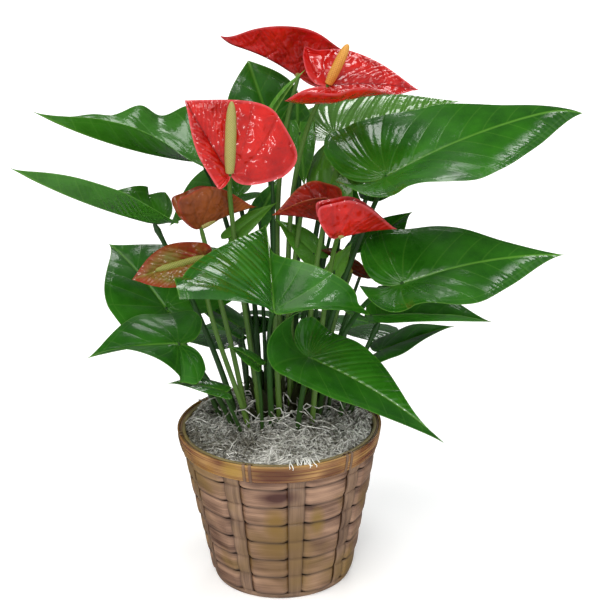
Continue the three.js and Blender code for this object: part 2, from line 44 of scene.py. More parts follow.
view = {
    "target": (19.5, 0, 245),
    "elevation": 21,
    "distance": 1600,
    "lens": 117.2,  # on a 36 mm sensor
    "roll": 1.2,  # the picture turned counter-clockwise
}
studio = {
    "floor": "#fbfbfb",
    "glow": 0.24,  # the floor is a lit white sweep
    # a light tent: bright in front, dark high at the back, so that leaves that mirror it stay deep
    "front": 0.62,
    "high": 0.16,
    "horizon": 0.12,
    "tint": "#fafcff",
    # suns: the way the light comes from, strength, softness in degrees, colour
    "key": ((-0.4, -0.5, 0.9), 1.5, 50, "#fffaf3"),
    "top": ((0.14, 0.27, 0.95), 0.9, 20, "#ffffff"),
    "rear": ((0.16, 0.75, 0.64), 0.42, 16, "#ffffff"),
    "flash": ((-0.07, -0.75, 0.66), 0.4, 10, "#ffffff"),
    "window": ((0.24, -0.93, 0.24), 0.38, 9, "#ffffff"),
    "side": ((0.85, -0.2, 0.5), 0.36, 20, "#ffffff"),
}


def linear(code):
    channels = [int(code[i:i + 2], 16) / 255 for i in (1, 3, 5)]
    return tuple(c / 12.92 if c <= 0.04045 else ((c + 0.055) / 1.055) ** 2.4 for c in channels) + (1.0,)


def deselectAll():
    for item in bpy.context.selected_objects:
        item.select_set(False)


def aimAt(item, target):
    away = Vector(item.location) - Vector(target)
    item.rotation_euler = away.to_track_quat("Z", "Y").to_euler()


# A node's inputs, by name or in order, each set to a value or linked from a socket.
def setInputs(tree, node, inputs):
    if not isinstance(inputs, dict):
        inputs = dict(enumerate(inputs))
    for key, value in inputs.items():
        if isinstance(value, bpy.types.NodeSocket):
            tree.links.new(value, node.inputs[key])
        else:
            node.inputs[key].default_value = value


# One node with its inputs and its settings. It gives back the node's outputs.
def addNode(tree, kind, inputs=(), **settings):
    node = tree.nodes.new("ShaderNode" + kind)
    for key, value in settings.items():
        setattr(node, key, value)
    setInputs(tree, node, inputs)
    return node.outputs


def calculate(tree, operation, *inputs, **settings):
    return addNode(tree, "Math", inputs, operation=operation, **settings)[0]


def mapRange(tree, *inputs, **settings):
    return addNode(tree, "MapRange", inputs, **settings)[0]


def addNoise(tree, place, scale, detail, roughness=0.5):
    return addNode(tree, "TexNoise", {
        "Vector": place, "Scale": scale, "Detail": detail, "Roughness": roughness})[0]


# A bump of a height field, its depth in mm.
def addBump(tree, strength, depth, height, **settings):
    return addNode(tree, "Bump", {
        "Strength": strength, "Distance": depth * mm, "Height": height}, **settings)[0]


def readAttribute(tree, name):
    return addNode(tree, "Attribute", attribute_name=name)


def addCamera():
    middle = Vector(view["target"]) * mm
    angle = math.radians(view["elevation"])
    away = Vector((0, -math.cos(angle), math.sin(angle))) * view["distance"] * mm
    bpy.ops.object.camera_add(location=middle + away)
    camera = bpy.context.object
    camera.data.sensor_width = 36
    camera.data.lens = view["lens"]
    camera.data.clip_end = 20
    aimAt(camera, middle)
    turn = Matrix.Rotation(-math.radians(view["roll"]), 4, away)
    aim = camera.rotation_euler.to_matrix().to_4x4()
    camera.matrix_world = Matrix.Translation(camera.location) @ turn @ aim
    bpy.context.scene.camera = camera


def addLights():
    world = bpy.data.worlds.new("lightTent")
    world.use_nodes = True
    tree = world.node_tree
    way = addNode(tree, "SeparateXYZ", [addNode(tree, "TexCoord")["Generated"]])
    behind = mapRange(tree, way[1], -0.35, 0.25, 0, 1)
    rise = mapRange(tree, way[2], 0.36, 0.56, studio["horizon"], studio["high"])
    glow = addNode(tree, "Mix", {0: behind, 2: studio["front"], 3: rise}, data_type="FLOAT")[0]
    setInputs(tree, tree.nodes["Background"], {"Color": linear(studio["tint"]), "Strength": glow})
    bpy.context.scene.world = world
    for name in ("key", "top", "rear", "flash", "window", "side"):
        way, strength, softness, colour = studio[name]
        bpy.ops.object.light_add(type="SUN", location=Vector(way) * 2)
        lamp = bpy.context.object
        lamp.name = name
        lamp.data.energy = strength
        lamp.data.angle = math.radians(softness)
        lamp.data.color = linear(colour)[:3]
        aimAt(lamp, (0, 0, 0))
    bpy.context.scene.view_settings.view_transform = "Standard"


addCamera()
addLights()
print("camera and lights placed")


def newMaterial(name):
    material = bpy.data.materials.new(name)
    material.use_nodes = True
    tree = material.node_tree
    return material, tree, tree.nodes["Principled BSDF"], addNode(tree, "TexCoord")["Object"]


# Colours laid over a ground, each with the share of it that shows.
def layerColours(tree, ground, *layers):
    colour = linear(ground)
    for share, code in layers:
        colour = addNode(tree, "Mix", {0: share, 6: colour, 7: linear(code)}, data_type="RGBA")[2]
    return colour


# The distance in mm from the nearest vein, out of the vein count and the mm between two veins.
def veinDistance(tree, count, spacing):
    turn = calculate(tree, "ADD", count, 0.5)
    turn = calculate(tree, "FRACT", turn)
    turn = calculate(tree, "SUBTRACT", turn, 0.5)
    turn = calculate(tree, "ABSOLUTE", turn)
    return calculate(tree, "MULTIPLY", turn, spacing)


# The attribute "veins" holds the vein count, the mm between veins and the mm from the joint, and
# "edges" the mm from the midrib, the mm from the margin and the share of the blade's length.
def bladeFields(tree):
    return [addNode(tree, "SeparateXYZ", [readAttribute(tree, name)["Vector"]])
            for name in ("veins", "edges")]


# A living leaf: waxy cuticle over green tissue, so a clear sheen over deep colour, paler along the
# veins, which sink a little between quilted panels. The underside is paler and duller.
leafLooks = {
    "glossyLeaf": {"deep": "#1a4f0b", "light": "#2f6f15", "pale": "#639431", "vein": "#4d8029",
                   "rough": 0.24, "coat": 0.55},
    "youngLeaf": {"deep": "#3a7220", "light": "#5f9a35", "pale": "#6fa03c", "vein": "#8fbb58",
                  "rough": 0.3, "coat": 0.2},
    "leafUnderside": {"deep": "#678626", "light": "#869f33", "pale": "#8fb148", "vein": "#8db05a",
                      "rough": 0.45, "coat": 0.05},
}
# a near-black green that leaves are darkened towards as painted shade
paintedShadeGreen = "#0a1c05"


def leafMaterial(name, looks):
    material, tree, shader, place = newMaterial(name)
    veins, edges = bladeFields(tree)
    side = veinDistance(tree, veins[0], veins[1])
    # veins about 1 mm wide, the midrib about 2.5 mm, a thin line 5 mm inside the margin
    sideLine = mapRange(tree, side, 0.1, 1.0, 0.27, 0)
    midrib = mapRange(tree, edges[0], 0.6, 1.9, 1, 0)
    inside = calculate(tree, "SUBTRACT", edges[1], 5)
    inside = calculate(tree, "ABSOLUTE", inside)
    marginLine = mapRange(tree, inside, 0.1, 0.8, 0.2, 0)
    # a pale band along the margin: a painted highlight where the margin catches light
    rim = mapRange(tree, edges[1], 0.3, 1.2, 0.4, 0)
    lines = calculate(tree, "MAXIMUM", sideLine, midrib)
    lines = calculate(tree, "MAXIMUM", lines, marginLine)
    # finer ribs between the veins, felt in the sheen only
    third = calculate(tree, "MULTIPLY", veins[0], 3.0)
    thirdSpace = calculate(tree, "MULTIPLY", veins[1], 0.333)
    rib = veinDistance(tree, third, thirdSpace)
    rib = mapRange(tree, rib, 0.0, 2.6, 0, 1, interpolation_type="SMOOTHSTEP")
    # soft patches of 25 mm, and the net of small veins at 3 mm
    patches = addNoise(tree, place, 38, 3, 0.55)
    net = addNode(tree, "TexVoronoi", {"Vector": place, "Scale": 330}, feature="DISTANCE_TO_EDGE")[0]
    netLine = mapRange(tree, net, 0.0, 0.12, 0.22, 0)
    tone = mapRange(tree, patches, 0.32, 0.7, 0, 1)
    # the attribute "tone": above 0 a mix towards the pale green, partly the leaf's own paler colour and
    # partly painted sheen; below 0 a mix towards the dark green, painted shade
    paler = readAttribute(tree, "tone")["Fac"]
    paintedShade = calculate(tree, "MULTIPLY", paler, -0.7, use_clamp=True)
    colour = layerColours(
        tree, looks["deep"], (tone, looks["light"]), (netLine, looks["light"]), (paler, looks["pale"]),
        (paintedShade, paintedShadeGreen), (lines, looks["vein"]), (rim, looks["pale"]))
    # where a leaf's wax is rubbed or dusty it is duller, and its ribs don't show
    wax = readAttribute(tree, "gloss")["Fac"]
    dull = calculate(tree, "SUBTRACT", 1.0, wax, use_clamp=True)
    dull = calculate(tree, "MULTIPLY", dull, dull)
    crisp = calculate(tree, "SUBTRACT", wax, 0.6, use_clamp=True)
    rough = mapRange(tree, patches, 0.3, 0.7, looks["rough"] - 0.05, looks["rough"] + 0.1)
    rough = calculate(tree, "MULTIPLY_ADD", dull, 0.65, rough)
    coat = calculate(tree, "MULTIPLY", wax, looks["coat"])
    fine = addNoise(tree, place, 160, 2)
    height = calculate(tree, "MULTIPLY", lines, -0.8)
    rib = calculate(tree, "MULTIPLY", rib, crisp)
    for relief, depth in ((fine, 0.7), (netLine, -0.25), (rib, 0.8)):
        height = calculate(tree, "MULTIPLY_ADD", relief, depth, height)
    bump = addBump(tree, 0.8, 0.5, height)
    setInputs(tree, shader, {
        "Base Color": colour, "Roughness": rough, "Coat Weight": coat, "Normal": bump, "Coat Normal": bump,
        "IOR": 1.42, "Specular IOR Level": 0.14, "Coat Roughness": 0.1})
    return material


# A spathe is a waxy, puckered leaf: dense colour under a lacquer-like gloss, its veins sunk.
spatheLooks = {
    "scarlet": {"deep": "#a00805", "light": "#cd1c12", "vein": "#7c0706", "rim": "#d9575c",
                "rough": 0.24, "coat": 0.6},
    "crimson": {"deep": "#6f140c", "light": "#a8281a", "vein": "#4f0d09", "rim": "#a8502c",
                "rough": 0.24, "coat": 0.4},
    "bronze": {"deep": "#6b2f10", "light": "#9c521c", "vein": "#4f2a10", "rim": "#96301a",
               "rough": 0.36, "coat": 0.2},
    "scarletUnder": {"deep": "#b01610", "light": "#d5322a", "vein": "#a51c15", "rim": "#d8505a",
                     "rough": 0.34, "coat": 0.2},
    "crimsonUnder": {"deep": "#5a1c10", "light": "#84301a", "vein": "#6d3a1c", "rim": "#8f2a1c",
                     "rough": 0.36, "coat": 0.2},
    "bronzeUnder": {"deep": "#6b3410", "light": "#8f5a22", "vein": "#5c3a14", "rim": "#96301a",
                    "rough": 0.42, "coat": 0.1},
    "budding": {"deep": "#5f6a22", "light": "#832817", "vein": "#83823a", "rim": "#8c2018",
                "rough": 0.26, "coat": 0.5, "wide": 8},
    "dark": {"deep": "#3a0f09", "light": "#5d1c10", "vein": "#2f0c07", "rim": "#6b3a1c",
             "rough": 0.28, "coat": 0.4},
}
# Blooms whose skin isn't the usual one of their colour.
bloomSkins = {"bloom_bud_left": "budding", "bloom_bud_right": "dark"}


def spatheMaterial(name, looks):
    material, tree, shader, place = newMaterial(name)
    veins, edges = bladeFields(tree)
    side = veinDistance(tree, veins[0], veins[1])
    # the vein colour along the sunk veins: on most spathes a darker red, painted shade in the creases; on the
    # bud its own paler green
    sideLine = mapRange(tree, side, 0.1, 1.6, 0.28, 0)
    midrib = mapRange(tree, edges[0], 0.3, 1.4, 0.8, 0)
    lines = calculate(tree, "MAXIMUM", sideLine, midrib)
    patches = addNoise(tree, place, 45, 3, 0.6)
    tone = mapRange(tree, patches, 0.3, 0.68, 0, 1)
    # the rim colour along the margin: on the scarlet spathes a pink painted highlight where the margin
    # catches light, on the others an edge colour of their own
    margin = mapRange(tree, edges[1], 0.3, looks.get("wide", 2.2), 0.75, 0)
    colour = layerColours(
        tree, looks["deep"], (tone, looks["light"]), (lines, looks["vein"]), (margin, looks["rim"]))
    # the sunk veins leave swollen ridges between them, broken into soft puckers about 9 mm long
    ridge = mapRange(tree, side, 0.0, 2.8, 0, 1, interpolation_type="SMOOTHSTEP")
    ridge = calculate(tree, "MULTIPLY", ridge, 0.45)
    pucker = addNode(tree, "TexNoise", {"Vector": place, "Scale": 105, "Detail": 0, "Distortion": 0.9})[0]
    height = calculate(tree, "MULTIPLY_ADD", pucker, 3.4, ridge)
    bump = addBump(tree, 0.9, 0.9, height)
    setInputs(tree, shader, {
        "Base Color": colour, "Roughness": looks["rough"], "Normal": bump, "Coat Normal": bump,
        "IOR": 1.42, "Specular IOR Level": 0.3, "Coat Weight": looks["coat"], "Coat Roughness": 0.08})
    return material


# A petiole or flower stalk: firm green skin with a faint lengthwise grain, yellower where it
# leaves the moss.
stalkLooks = {
    "petioleSkin": {"foot": "#2f4a18", "top": "#1f4712"},
    "stalkSkin": {"foot": "#5d7a2c", "top": "#4f732a"},
    # the sheaths' near-black green and brown is painted shade among the stems
    "sheathPaintedShade": {"foot": "#2b2513", "top": "#1c2a0f"},
}


def stalkMaterial(name, looks):
    material, tree, shader, place = newMaterial(name)
    up = addNode(tree, "SeparateXYZ", [place])[2]
    share = mapRange(tree, up, 0.12, 0.2, 0, 1)
    stretched = addNode(tree, "Mapping", {"Vector": place, "Scale": (900, 900, 60)})[0]
    grain = addNoise(tree, stretched, 1, 2)
    share = calculate(tree, "MULTIPLY_ADD", grain, 0.35, share)
    share = calculate(tree, "SUBTRACT", share, 0.17, use_clamp=True)
    setInputs(tree, shader, {
        "Base Color": layerColours(tree, looks["foot"], (share, looks["top"])),
        "Normal": addBump(tree, 0.3, 0.2, grain),
        "Roughness": 0.38, "IOR": 1.45})
    return material


# A spadix is packed with tiny matt florets, each a pale diamond with a darker rim.
spadixLooks = {
    "spadix": {"rim": "#7f7a2e", "face": "#b0a562"},
    "green": {"rim": "#5d681f", "face": "#959440"},
    "orange": {"rim": "#b9741f", "face": "#e3ab4c"},
}


def spadixMaterial(name, looks):
    material, tree, shader, place = newMaterial(name)
    floret = readAttribute(tree, "floret")["Fac"]
    speck = addNoise(tree, place, 700, 2)
    share = calculate(tree, "MULTIPLY_ADD", speck, 0.6, floret)
    share = mapRange(tree, share, 0.35, 1.15, 0, 1)
    setInputs(tree, shader, {
        "Base Color": layerColours(tree, looks["rim"], (share, looks["face"])),
        "Normal": addBump(tree, 0.4, 0.3, speck),
        "Roughness": 0.55})
    return material


# Split bamboo, boiled and stained: a satin skin with fibres along each strip, uneven stain that
# runs from pinkish tan to ochre, and dark edges, partly wear and partly painted shade between rows,
# behind stakes and in grooves. The attribute "strip" holds mm along the strip, mm across it and the
# strip's own number.
bambooLooks = {
    "weaver": {"deep": "#472818", "light": "#ad886d", "ochre": "#80642a", "edge": "#230e08", "rough": 0.34},
    "stake": {"deep": "#483020", "light": "#98795f", "ochre": "#806435", "edge": "#3a2012", "rough": 0.42},
    "hoop": {"deep": "#541f08", "light": "#b68c55", "ochre": "#93661a", "edge": "#3d1f0b", "rough": 0.22,
             "streak": ("#b58d4c", "#66280f")},
    "hoopInner": {"deep": "#6b5c34", "light": "#a8976a", "ochre": "#85702f", "edge": "#43341a", "rough": 0.4},
}
# Stains: where, their half-size, colour and strength.
stains = [
    ((-2, -79, 104), (17, 14, 7), "#3a0a04", 0.92),
    ((-4, -74, 78), (9, 12, 16), "#80600f", 0.8),
    ((-8, -72, 52), (14, 12, 9), "#7a5c12", 0.6),
    ((30, -68, 76), (6, 12, 14), "#80640f", 0.75),
    ((-4, -86, 126), (30, 12, 9), "#4a1a06", 0.85),
    ((2, -66, 50), (30, 18, 46), "#6f5222", 0.6),
    ((-38, -76, 128), (10, 12, 8), "#9a7a20", 0.6),
    ((44, -72, 122), (12, 14, 6), "#4f2410", 0.6),
]


def bambooMaterial(name, looks, stained=True):
    material, tree, shader, place = newMaterial(name)
    strip = readAttribute(tree, "strip")["Vector"]

    def grain(scale, detail, roughness=0.5):
        spot = addNode(tree, "Mapping", {"Vector": strip, "Scale": scale})[0]
        return addNoise(tree, spot, 1, detail, roughness)

    # fibres 0.5 mm wide and some 40 mm long, broad bands, and a shade for each length between stakes
    fibre = grain((0.025, 2.0, 7.3), 4, 0.65)
    share = 0
    band = grain((0.012, 0.25, 3.1), 2)
    shade = grain((0.04, 0.06, 5.7), 1)
    for layer, weight in ((fibre, 0.9), (band, 0.7), (shade, 0.8)):
        share = calculate(tree, "MULTIPLY_ADD", layer, weight, share)
    share = mapRange(tree, share, 0.9, 1.5, 0, 1)
    patch = addNoise(tree, place, 24, 2)
    warm = mapRange(tree, patch, 0.5, 0.66, 0, 0.75)
    layers = [(share, looks["light"]), (warm, looks["ochre"])]
    if "streak" in looks:
        streak = grain((0.009, 0.55, 5.1), 3, 0.6)
        for code, low, high in zip(looks["streak"], (0.54, 0.46), (0.62, 0.38)):
            layers.append((mapRange(tree, streak, low, high, 0, 0.75), code))
    for where, size, code, strength in stains if stained else ():
        near = addNode(tree, "Mapping", {
            "Vector": place, "Location": [-w / s for w, s in zip(where, size)],
            "Scale": [1000 / s for s in size]})[0]
        far = addNode(tree, "VectorMath", [near], operation="LENGTH")["Value"]
        layers.append((mapRange(tree, far, 0.45, 1.3, strength, 0), code))
    # the edge colour: wear, and painted shade between rows and behind stakes
    layers.append((readAttribute(tree, "rim")["Fac"], looks["edge"]))
    setInputs(tree, shader, {
        "Base Color": layerColours(tree, looks["deep"], *layers),
        "Normal": addBump(tree, 0.55, 0.35, fibre),
        "Roughness": looks["rough"], "IOR": 1.5, "Coat Weight": 0.15, "Coat Roughness": 0.25})
    return material


# Dried Spanish moss: matt grey-green threads, nearly white where they are bleached.
mossLooks = {
    "mossThread": ("#6f6c60", "#efeee8", 0.7, 1.05),
    # the mat under the threads is dark brownish grey, painted shade in the gaps between threads
    "mossMat": ("#2b2822", "#57544a", 0.7, 1.2),
    "mossBleached": ("#efeee8", "#f4f3ee", 0.6, 1.0),
}


def mossMaterial(name, deep, light, low, high):
    material, tree, shader, place = newMaterial(name)
    # thread to thread at 3 mm, with broad bleached areas at 30 mm
    thread = addNoise(tree, place, 300, 3)
    area = addNoise(tree, place, 32, 1)
    share = calculate(tree, "MULTIPLY_ADD", area, 0.7, thread)
    share = mapRange(tree, share, low, high, 0, 1)
    setInputs(tree, shader, {
        "Base Color": layerColours(tree, deep, (share, light)),
        "Normal": addBump(tree, 0.5, 0.3, thread),
        "Roughness": 0.85})
    return material


# Thermoformed polypropylene: dull black-green, with a fine moulded grain of 0.5 mm.
def plasticMaterial(name):
    material, tree, shader, place = newMaterial(name)
    grain = addNoise(tree, place, 2000, 2)
    scuff = addNoise(tree, place, 60, 4)
    setInputs(tree, shader, {
        "Base Color": layerColours(tree, "#1d201c", (scuff, "#343a34")),
        "Normal": addBump(tree, 0.25, 0.1, grain),
        "Roughness": 0.5})
    return material


# Damp potting compost: dark crumbs of 2 to 5 mm.
def compostMaterial(name):
    material, tree, shader, place = newMaterial(name)
    crumb = addNode(tree, "TexVoronoi", {"Vector": place, "Scale": 320})["Distance"]
    fleck = addNoise(tree, place, 420, 3)
    bump = addBump(tree, 0.8, 1.2, crumb, invert=True)
    setInputs(tree, shader, {
        "Base Color": layerColours(tree, "#1d130c", (fleck, "#5a4431")), "Normal": bump, "Roughness": 0.9})
    return material


leafMaterials = {name: leafMaterial(name, looks) for name, looks in leafLooks.items()}
spathes = {name: spatheMaterial(name + "Spathe", looks) for name, looks in spatheLooks.items()}
stalks = {name: stalkMaterial(name, looks) for name, looks in stalkLooks.items()}
spadixSkins = {name: spadixMaterial(name + "Florets", looks) for name, looks in spadixLooks.items()}
bamboos = {name: bambooMaterial(name + "Bamboo", looks, name != "hoopInner")
           for name, looks in bambooLooks.items()}
mosses = {name: mossMaterial(name, *looks) for name, looks in mossLooks.items()}
print("materials ready")


def lerp(a, b, t):
    return a + (b - a) * t


def unit(v):
    return v / np.linalg.norm(v)


def ease(t):
    t = np.clip(t, 0, 1)
    return t * t * (3 - 2 * t)


# The values for left and right, out of a pair or of one value for both.
def both(value):
    return list(value) if isinstance(value, (list, tuple)) else [value, value]


def coordinates(piece):
    flat = np.empty(len(piece.data.vertices) * 3)
    piece.data.vertices.foreach_get("co", flat)
    return flat.reshape(-1, 3)


def placeVertices(piece, points):
    piece.data.vertices.foreach_set("co", (np.asarray(points) * mm).ravel())
    piece.data.update()


def setAttribute(piece, name, values, kind="FLOAT_VECTOR"):
    held = piece.data.attributes.new(name, kind, "POINT")
    key = "vector" if kind == "FLOAT_VECTOR" else "value"
    held.data.foreach_set(key, np.asarray(values, dtype=np.float32).ravel())


# Selects these pieces alone, with the first one active.
def pick(*pieces):
    deselectAll()
    for piece in pieces:
        piece.select_set(True)
    bpy.context.view_layer.objects.active = pieces[0]


def mergeDoubles(piece, distance=0.01):
    pick(piece)
    bpy.ops.object.mode_set(mode="EDIT")
    bpy.ops.mesh.select_all(action="SELECT")
    bpy.ops.mesh.remove_doubles(threshold=distance * mm)
    bpy.ops.object.mode_set(mode="OBJECT")


def joinPieces(pieces, name):
    pick(*pieces)
    bpy.ops.object.join()
    pieces[0].name = name
    pieces[0].data.name = name
    return pieces[0]


def applyModifier(piece, kind, **settings):
    modifier = piece.modifiers.new(kind.lower(), kind)
    for key, value in settings.items():
        setattr(modifier, key, value)
    bpy.context.view_layer.objects.active = piece
    bpy.ops.object.modifier_apply(modifier=modifier.name)


def smoothShade(piece, angle=40):
    pick(piece)
    bpy.ops.object.shade_smooth_by_angle(angle=math.radians(angle))


def giveMaterials(piece, *materials):
    for material in materials:
        piece.data.materials.append(material)


# A piece with no node of the CAD to replace only rides along.
def finishPiece(piece, node):
    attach(piece, "root")
    if node:
        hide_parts(node)


# A grid from the mesh menu, with each vertex's row and column numbers, to be shaped in code.
def addGrid(rows, columns, name):
    deselectAll()
    bpy.ops.mesh.primitive_grid_add(x_subdivisions=rows, y_subdivisions=columns, size=1)
    piece = bpy.context.object
    piece.name = name
    spots = coordinates(piece) + 0.5
    return piece, np.rint(spots[:, 0] * rows), np.rint(spots[:, 1] * columns)


upward = np.array([0, 0, 1.0])

# Stems leave the soil upright and reach the joint along its own direction.
stem = {
    "bottom": 96.3,
    "petiole": (2.9, 1.9),  # radius at the soil and under the blade
    "thin": (2.0, 1.4),
    "stalk": (2.5, 1.9),
    "knee": 0.9,  # how much the petiole swells just under its blade
    "pull": 0.36,
    "push": 0.3,
    "lean": 0.45,
}


def stemPoints(foot, joint, arrive, upright, count):
    start = np.array([foot[0], foot[1], stem["bottom"]])
    reach = joint - start
    length = np.linalg.norm(reach)
    away = unit(lerp(unit(reach), upward, upright))
    first = start + away * length * stem["pull"]
    last = joint - arrive * length * stem["push"]
    t = np.linspace(0, 1, count)[:, None]
    return start * (1 - t) ** 3 + 3 * first * t * (1 - t) ** 2 + 3 * last * t * t * (1 - t) + joint * t ** 3


# Round tubes along lists of points: one curve with a bevel, made a mesh.
def makeTubes(name, paths, widths, sides, capped):
    deselectAll()
    bpy.ops.curve.primitive_nurbs_path_add()
    tubes = bpy.context.object
    tubes.name = name
    tubes.data.splines.clear()
    for points, radii in zip(paths, widths):
        spline = tubes.data.splines.new("POLY")
        spline.points.add(len(points) - 1)
        spline.points.foreach_set("co", np.c_[np.asarray(points) * mm, np.ones(len(points))].ravel())
        spline.points.foreach_set("radius", radii)
    tubes.data.bevel_depth = mm
    tubes.data.bevel_resolution = sides
    tubes.data.use_fill_caps = capped
    bpy.ops.object.convert(target="MESH")
    bpy.ops.object.shade_smooth()
    return bpy.context.object


def makeStem(name, points, radii, knee=0.0):
    share = np.linspace(0, 1, len(points))
    length = np.linalg.norm(np.diff(points, axis=0), axis=1).sum()
    fromTop = (1 - share) * length
    swell = knee * np.exp(-((fromTop - 7) / 5) ** 2)
    tip = np.where(fromTop < 3, 0.75 + 0.25 * fromTop / 3, 1)
    return makeTubes(name, [points], [(lerp(*radii, share ** 0.8) + swell) * tip], 2, True)


# Half-widths of a heart-shaped blade at x, from 0 at the back of its lobes to 1 at its tip.
def heartOutline(x, lobe, rear, widest, point):
    notchEnd = lobe / (1 + lobe)
    x = np.asarray(x, float)
    arch = np.sin(np.pi * np.clip(x, 0, 1) ** (math.log(0.5) / math.log(widest)))
    margin = np.where((x > 0) & (x < 1), np.maximum(arch, 0) ** (0.6 + (point - 0.6) * x), 0)
    margin = margin + np.where(x < widest, rear * (1 - x / widest) ** 2, 0)
    notch = np.where(x < notchEnd, rear * np.maximum(1 - x / notchEnd, 0) ** 3, 0)
    return np.minimum(notch, margin), margin


# How a blade is shaped unless its own entry says otherwise; a pair of values is for left and right.
bladeDefaults = {
    "lobe": 0.3, "rear": 0.5, "widest": 0.34, "point": 1.35, "droop": 20, "curl": 0, "fold": 12,
    "foldTip": None, "foldEase": 1, "cup": 20, "roll": 0, "lift": 0, "back": 1, "wave": 0, "waves": 2,
    "phase": (1.9, 0), "up": (0, 0, 1), "thickness": 1.1, "veinSpace": 21, "veinAngle": 48,
    "veinBend": 0.0035, "puff": 0.6, "ripple": 0.5, "tone": 0, "gloss": 1, "glossTip": 1, "edgeGloss": 0,
    "rows": 60, "lobeRows": 16, "columns": 18,
}
# The small forms of every blade, in mm: ripples of the margin as wavelength and share, how far from
# the joint, the margin and the midrib the panels between veins reach their full height, and the groove
# along the midrib as depth and half-width.
bladeRelief = {"ripples": ((9, 1), (5.3, 0.6), (19, 1.4)), "panels": (26, 9, 7), "groove": (0.9, 2.2)}


# A blade lies along its midrib: a is lengths from the joint, b is mm out from the midrib, and the side
# is -1 for the left half and 1 for the right.
class Blade:
    def __init__(self, name, settings):
        s = self.s = {**bladeDefaults, **settings}
        if s["foldTip"] is None:
            s["foldTip"] = s["fold"]
        chance = random.Random(name)
        self.phases = [chance.uniform(0, 6.28) for _ in range(8)]
        self.joint = np.array(s["joint"], float)
        chord = np.array(s["tip"], float) - self.joint
        along = unit(chord)
        up = np.array(s["up"], float)
        normal = unit(up - along * (up @ along))
        across = np.cross(along, normal)
        roll = math.radians(s["roll"])
        rolled = normal * math.cos(roll) + across * math.sin(roll)
        self.across = across * math.cos(roll) - normal * math.sin(roll)
        parts = 60
        angles = self.slope((np.arange(parts) + 0.5) / parts)
        self.run = np.r_[0, np.cumsum(np.cos(angles)) / parts]
        self.rise = np.r_[0, np.cumsum(np.sin(angles)) / parts]
        self.knots = np.linspace(0, 1, parts + 1)
        self.length = np.linalg.norm(chord) / math.hypot(self.run[-1], self.rise[-1])
        pitch = -math.atan2(self.rise[-1], self.run[-1])
        self.forward = along * math.cos(pitch) + rolled * math.sin(pitch)
        self.above = rolled * math.cos(pitch) - along * math.sin(pitch)

    def value(self, key, side):
        return both(self.s[key])[0 if side < 0 else 1]

    def slope(self, a):
        s = self.s
        return -math.radians(s["droop"]) * a - math.radians(s["curl"]) * np.maximum(0, (a - 0.7) / 0.3) ** 2

    def edges(self, x, side):
        shape = [self.value(key, side) for key in ("lobe", "rear", "widest", "point")]
        return [w * (self.value("width", side) / 2) for w in heartOutline(x, *shape)]

    # Veins leave the midrib at one angle and bend to the tip; behind the joint they fan out.
    def veins(self, a, b):
        s = self.s
        angle = math.radians(s["veinAngle"])
        x = a * self.length
        forward = x - s["veinBend"] * b * b
        front = (forward - b / math.tan(angle)) / s["veinSpace"]
        step = math.radians(180 - s["veinAngle"]) / 4.5
        turn = np.arctan2(b, forward)
        behind = (angle - turn) / step
        far = np.hypot(x, b)
        count = np.where(front >= 0, front, behind)
        spacing = np.where(front >= 0, s["veinSpace"] * math.sin(angle), far * step)
        return count, spacing, far

    # The blade's points in space.
    def at(self, a, b, side, marginGap):
        s = self.s
        fold, foldTip, cup, lift, back, wave, phase = [
            self.value(key, side) for key in ("fold", "foldTip", "cup", "lift", "back", "wave", "phase")]
        share = b / (self.value("width", side) / 2)
        lean = np.radians(lerp(fold, foldTip, np.maximum(a, 0) ** s["foldEase"]) - cup * share / 2)
        height = wave * share ** 2 * np.sin(2 * math.pi * s["waves"] * a + phase)
        x = a * self.length
        starts = self.phases[4:] if side > 0 else self.phases[:4]
        ripples = sum(weight * np.sin(x / span + start)
                      for (span, weight), start in zip(bladeRelief["ripples"], starts))
        height = height + s["ripple"] * np.clip(share, 0, 1.2) ** 2 * ripples
        count, _, far = self.veins(a, b)
        bulge = np.abs(np.sin(math.pi * count)) ** 0.8
        for gap, full in zip((far, marginGap, b), bladeRelief["panels"]):
            bulge = bulge * ease(gap / full)
        depth, half = bladeRelief["groove"]
        groove = depth * np.exp(-(b / half) ** 2) * ease(x / 12) * (1 - 0.6 * np.clip(a, 0, 1))
        puff = s["puff"] * bulge - groove * min(1, s["puff"] * 1.5)
        out = (b * np.cos(lean) - puff * np.sin(lean)) * side
        height = b * np.sin(lean) + height + puff * np.cos(lean)
        inFront = a >= 0
        front = np.maximum(a, 0)
        tilt = math.radians(lift) * np.minimum(1, np.maximum(-a, 0) / s["lobe"]) * 0.5
        run, rise = [np.interp(front, self.knots, curve) * self.length for curve in (self.run, self.rise)]
        run = np.where(inFront, run, a * back * self.length * np.cos(tilt))
        rise = np.where(inFront, rise, -a * back * self.length * np.sin(tilt))
        lean = np.where(inFront, -self.slope(front), 2 * tilt)
        localUp = np.cos(lean)[:, None] * self.above + np.sin(lean)[:, None] * self.forward
        return (self.joint + run[:, None] * self.forward + rise[:, None] * self.above
                + out[:, None] * self.across + height[:, None] * localUp)

    # Distance in mm from the nearest bit of margin or notch, measured on the flat blade.
    def marginGaps(self, a, b, side):
        s = self.s
        x = np.linspace(0, 1, 160) ** 1.4
        notch, margin = self.edges(x, side)
        along = (x * (1 + s["lobe"]) - s["lobe"]) * self.length
        back = along < 0
        line = np.r_[np.c_[along, margin], np.c_[along[back], notch[back]]]
        spots = np.c_[a * self.length, b]
        return np.sqrt(((spots[:, None, :] - line[None, :, :]) ** 2).sum(2)).min(1)


